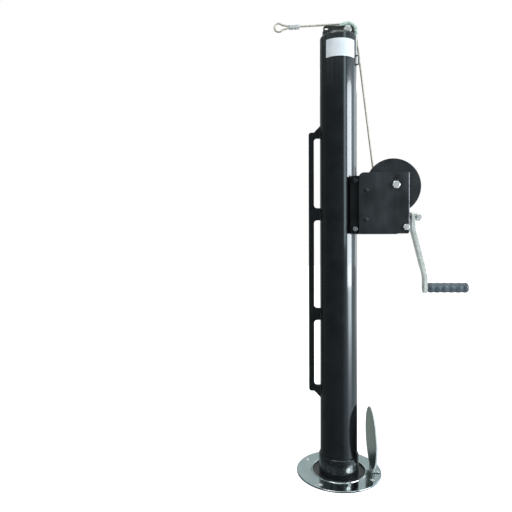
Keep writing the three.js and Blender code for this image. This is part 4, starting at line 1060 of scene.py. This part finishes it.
for side, low, high in (("front", -SIDE_FACE, -ROUND_TUBE), ("rear", ROUND_TUBE, SIDE_FACE)):
    for number, height in ((1, 608), (2, 676)):
        name = f"{side}_plate_rivet_{number}"
        rivet(name, "y", (58, 0, height), low, high, 5, 1.9, "post", SATIN)
for number, place in enumerate(LEAF_RIVETS, 1):
    name = f"leaf_rivet_{number}"
    rivet(name, "z", place, 0.3, 5, 3.1, 1.7, "ground", CHROME, both_heads=False)
for number, y in ((1, -5.7), (2, 5.7)):
    name = f"strap_rivet_{number}"
    rivet(name, "x", (0, y, 31.2), 77.5, 82.3, 3.1, 1.7, "lid", CHROME, both_heads=False)


def plate_screw(place):
    """A countersunk screw with a slot, its head level with the plate."""
    end = -15.8
    thread = threaded(2.6, end, -15, 0.4, 1.4)[2:-2]
    head = [(2.6, 0.8), (5, PLATE_TOP - 0.15), (4.85, PLATE_TOP), (0, PLATE_TOP)]
    body = lathe("z", [(0, end), (2, end), *thread, *head], place, 48)
    slot = block((place[0] - 6, place[1] - 0.6, 2.3), (place[0] + 6, place[1] + 0.6, 4))
    return cut(body, slot)


for number, place in enumerate(PLATE_SCREWS, 1):
    name = f"plate_screw_{number}"
    finished(name + "_slotted", plate_screw(place), BRIGHT, "ground", [name], 25)

# Pieces that stay as CAD nodes
PLAIN = {
    "pulley_bush": BRONZE,
    "reel_bush_front": BRONZE,
    "reel_bush_rear": BRONZE,
    "worm_bush_inner": BRONZE,
    "worm_bush_outer": BRONZE,
    "ground_sleeve": SATIN,
    "wheel_screw": ZINC,
}
for name, node in nodes.items():
    stem = name.rstrip("0123456789").rstrip("_")
    if stem in PLAIN:
        node.data.materials.clear()
        node.data.materials.append(PLAIN[stem])


# Weld beads where the lacing bar's legs meet the tube
def bead(start, end, radius, pitch=2):
    """Overlapping scales along a line, as a weld is laid."""
    run = end - start
    count = max(2, round(run.length / pitch))
    bm = bmesh.new()
    for i in range(count):
        centre = start + run * ((i + 0.5) / count)
        made = bmesh.ops.create_uvsphere(bm, u_segments=10, v_segments=6, radius=radius)
        bmesh.ops.translate(bm, verts=made["verts"], vec=centre)
    return bm


seam = -TUBE + 0.35
beads = []
for leg in (195, 382, 623, 820):
    for y in (-3.4, 3.4):
        beads.append(bead(Vector((seam, y, leg - 14)), Vector((seam, y, leg + 14)), 1.5))
finished("lacing_welds", joined(*beads), WELD, "post", (), 50)


# Studio: a white sweep behind and to the right, a dark room in front and to the left
def room_glow(tree, direction, stops):
    """What polished surfaces see of the room, by compass direction from the post."""
    split = add_node(tree, "ShaderNodeSeparateXYZ", {"Vector": direction})
    ahead = maths(tree, "MULTIPLY", split.outputs["Y"], -1)
    turn = maths(tree, "ARCTAN2", split.outputs["X"], ahead)
    share = ranged(tree, turn, -math.pi, math.pi)
    turned = [((degrees + 180) / 360, color) for degrees, color in stops]
    return ramped(tree, share, turned, "EASE"), split.outputs["Z"]


# The room's colours by degrees, as the walls show them and as the floor does, near and far
ROOM = [
    (-180, (0.85, 0.88, 0.86)),
    (-163, (0.28, 0.32, 0.31)),
    (-145, (0.15, 0.17, 0.17)),
    (-120, (0.07, 0.075, 0.075)),
    (-60, (0.04, 0.045, 0.05)),
    (15, (0.04, 0.05, 0.055)),
    (38, (0.25, 0.32, 0.36)),
    (62, (0.9, 1.1, 1.25)),
    (90, (1.0, 1.2, 1.35)),
    (104, (1.0, 1.15, 1.3)),
    (111, (1.8, 2.0, 2.1)),
    (122, (1.8, 2.0, 2.1)),
    (136, (0.95, 1.05, 1.1)),
    (180, (0.85, 0.88, 0.86)),
]
FRONT_AND_LEFT = 7
NEAR_FLOOR = ROOM[:FRONT_AND_LEFT] + [
    (62, (0.75, 0.9, 1.05)),
    (90, (0.45, 0.55, 0.62)),
    (140, (0.3, 0.35, 0.38)),
    (160, (0.75, 0.8, 0.8)),
    (180, (0.85, 0.88, 0.86)),
]
# From 61 to 75 degrees the far floor glows brightly to polished surfaces: a painted reflection of the
# right softbox on the floor.
FAR_FLOOR = ROOM[:FRONT_AND_LEFT] + [
    (51, (0.9, 1.1, 1.25)),
    (61, (4.7, 5.4, 5.8)),
    (75, (4.7, 5.4, 5.8)),
    (84, (0.6, 0.72, 0.8)),
    (105, (0.55, 0.65, 0.7)),
    (130, (0.8, 0.9, 0.95)),
    (155, (0.85, 0.9, 0.9)),
    (180, (0.85, 0.88, 0.86)),
]


def seen_by(tree, first, *others):
    """1 for the named kinds of ray and 0 for the rest."""
    outputs = tree.nodes.new("ShaderNodeLightPath").outputs
    seen = outputs[first]
    for ray in others:
        seen = maths(tree, "MAXIMUM", seen, outputs[ray])
    return seen


def mixed_shader(tree, factor, first, second):
    return add_node(tree, "ShaderNodeMixShader", {0: factor, 1: first, 2: second}).outputs[0]


# Floor: white to the camera, and to polished surfaces the glow of the room that it mirrors
WHITE = (1, 1, 1, 1)
sweep = Finish("studio_floor", (0.8, 0.81, 0.82), 0, 0.8, Specular_IOR_Level=0)
tree = sweep.tree
place = sweep.place
shader = tree.nodes["Principled BSDF"].outputs[0]
near_glow, _ = room_glow(tree, place, NEAR_FLOOR)
far_glow, _ = room_glow(tree, place, FAR_FLOOR)
distance = add_node(tree, "ShaderNodeVectorMath", {0: place}, operation="LENGTH").outputs["Value"]
room = mixed(tree, ranged(tree, distance, 0.2, 2.6, kind="SMOOTHSTEP"), near_glow, far_glow)
fade = ranged(tree, distance, 0.3, 2.2, 0.5, 1.0, "SMOOTHSTEP")
seen_white = seen_by(tree, "Is Camera Ray", "Is Transmission Ray")
shown = mixed(tree, seen_white, room, fade)
glow = add_node(tree, "ShaderNodeEmission", {"Color": shown}).outputs[0]
both = add_node(tree, "ShaderNodeAddShader", {0: shader, 1: glow}).outputs[0]
plain = mixed_shader(tree, seen_white, shader, both)
only = mixed_shader(tree, seen_by(tree, "Is Glossy Ray"), plain, glow)
tree.links.new(only, tree.nodes["Material Output"].inputs["Surface"])

# Its mesh is a wide ring: the hole lies under the floor plate, where the sleeve goes down
floor_bm = bmesh.new()
rings = []
for radius in (0.096, 9):
    made = bmesh.ops.create_circle(floor_bm, segments=96, radius=radius)
    rings += {edge for vert in made["verts"] for edge in vert.link_edges}
bmesh.ops.bridge_loops(floor_bm, edges=rings)
bmesh.ops.translate(floor_bm, verts=floor_bm.verts, vec=(0, 0, -0.0002))
for face in floor_bm.faces:
    if face.normal.z < 0:
        face.normal_flip()
floor_mesh = bpy.data.meshes.new("studio_floor")
floor_bm.to_mesh(floor_mesh)
floor_bm.free()
floor_mesh.materials.append(sweep.material)
floor = placed("studio_floor", floor_mesh)

# World: white to the camera, soft light on matt surfaces, and the room in polished ones
world = bpy.data.worlds.new("studio")
bpy.context.scene.world = world
world.use_nodes = True
tree = world.node_tree
place = tree.nodes.new("ShaderNodeTexCoord").outputs["Generated"]
walls, height = room_glow(tree, place, ROOM)
patches = add_node(tree, "ShaderNodeTexNoise", {"Vector": place, "Scale": 5, "Detail": 1})
panels = ramped(tree, patches.outputs["Fac"], [(0.47, (0.1, 0.12, 0.12)), (0.56, (0.42, 0.49, 0.5))])
room = mixed(tree, ranged(tree, height, 0.3, 0.42), walls, panels)
ambient = mixed(tree, seen_by(tree, "Is Glossy Ray"), (0.36, 0.38, 0.4, 1), room)
shown = mixed(tree, seen_by(tree, "Is Camera Ray", "Is Transmission Ray"), ambient, WHITE)
tree.links.new(shown, tree.nodes["Background"].inputs["Color"])


def soft_lamp(name, place, target, size, power, color=(1, 1, 1)):
    data = bpy.data.lights.new(name, "AREA")
    data.shape = "RECTANGLE"
    data.size, data.size_y = size
    data.energy = power
    data.color = color
    lamp = placed(name, data)
    lamp.location = place
    lamp.rotation_euler = (Vector(target) - Vector(place)).to_track_quat("-Z", "Y").to_euler()
    return lamp


COOL = (0.88, 0.95, 1.0)
soft_lamp("softbox_right", (1.87, -0.89, 0.93), (0, 0, 0.88), (1.16, 1.37), 39.5, COOL)
fill_right = soft_lamp("fill_right", (1.8, -0.93, 2.05), (0, 0, 0.95), (1.2, 0.85), 13, COOL)
fill_right.visible_glossy = False
soft_lamp("strip_front", (1.27, -1.89, 1.5), (0, 0, 1.05), (0.5, 2.0), 5.5, (0.7, 0.92, 1.0))
soft_lamp("key_left", (-1.5, -1.9, 3.3), (0, 0, 0.5), (1.4, 1.4), 40)
soft_lamp("top", (0.2, -0.2, 3.4), (0, 0, 0.4), (2.2, 2.2), 34)
soft_lamp("back", (0.6, 2.4, 2.6), (0, 0, 0.6), (2.4, 1.8), 26)
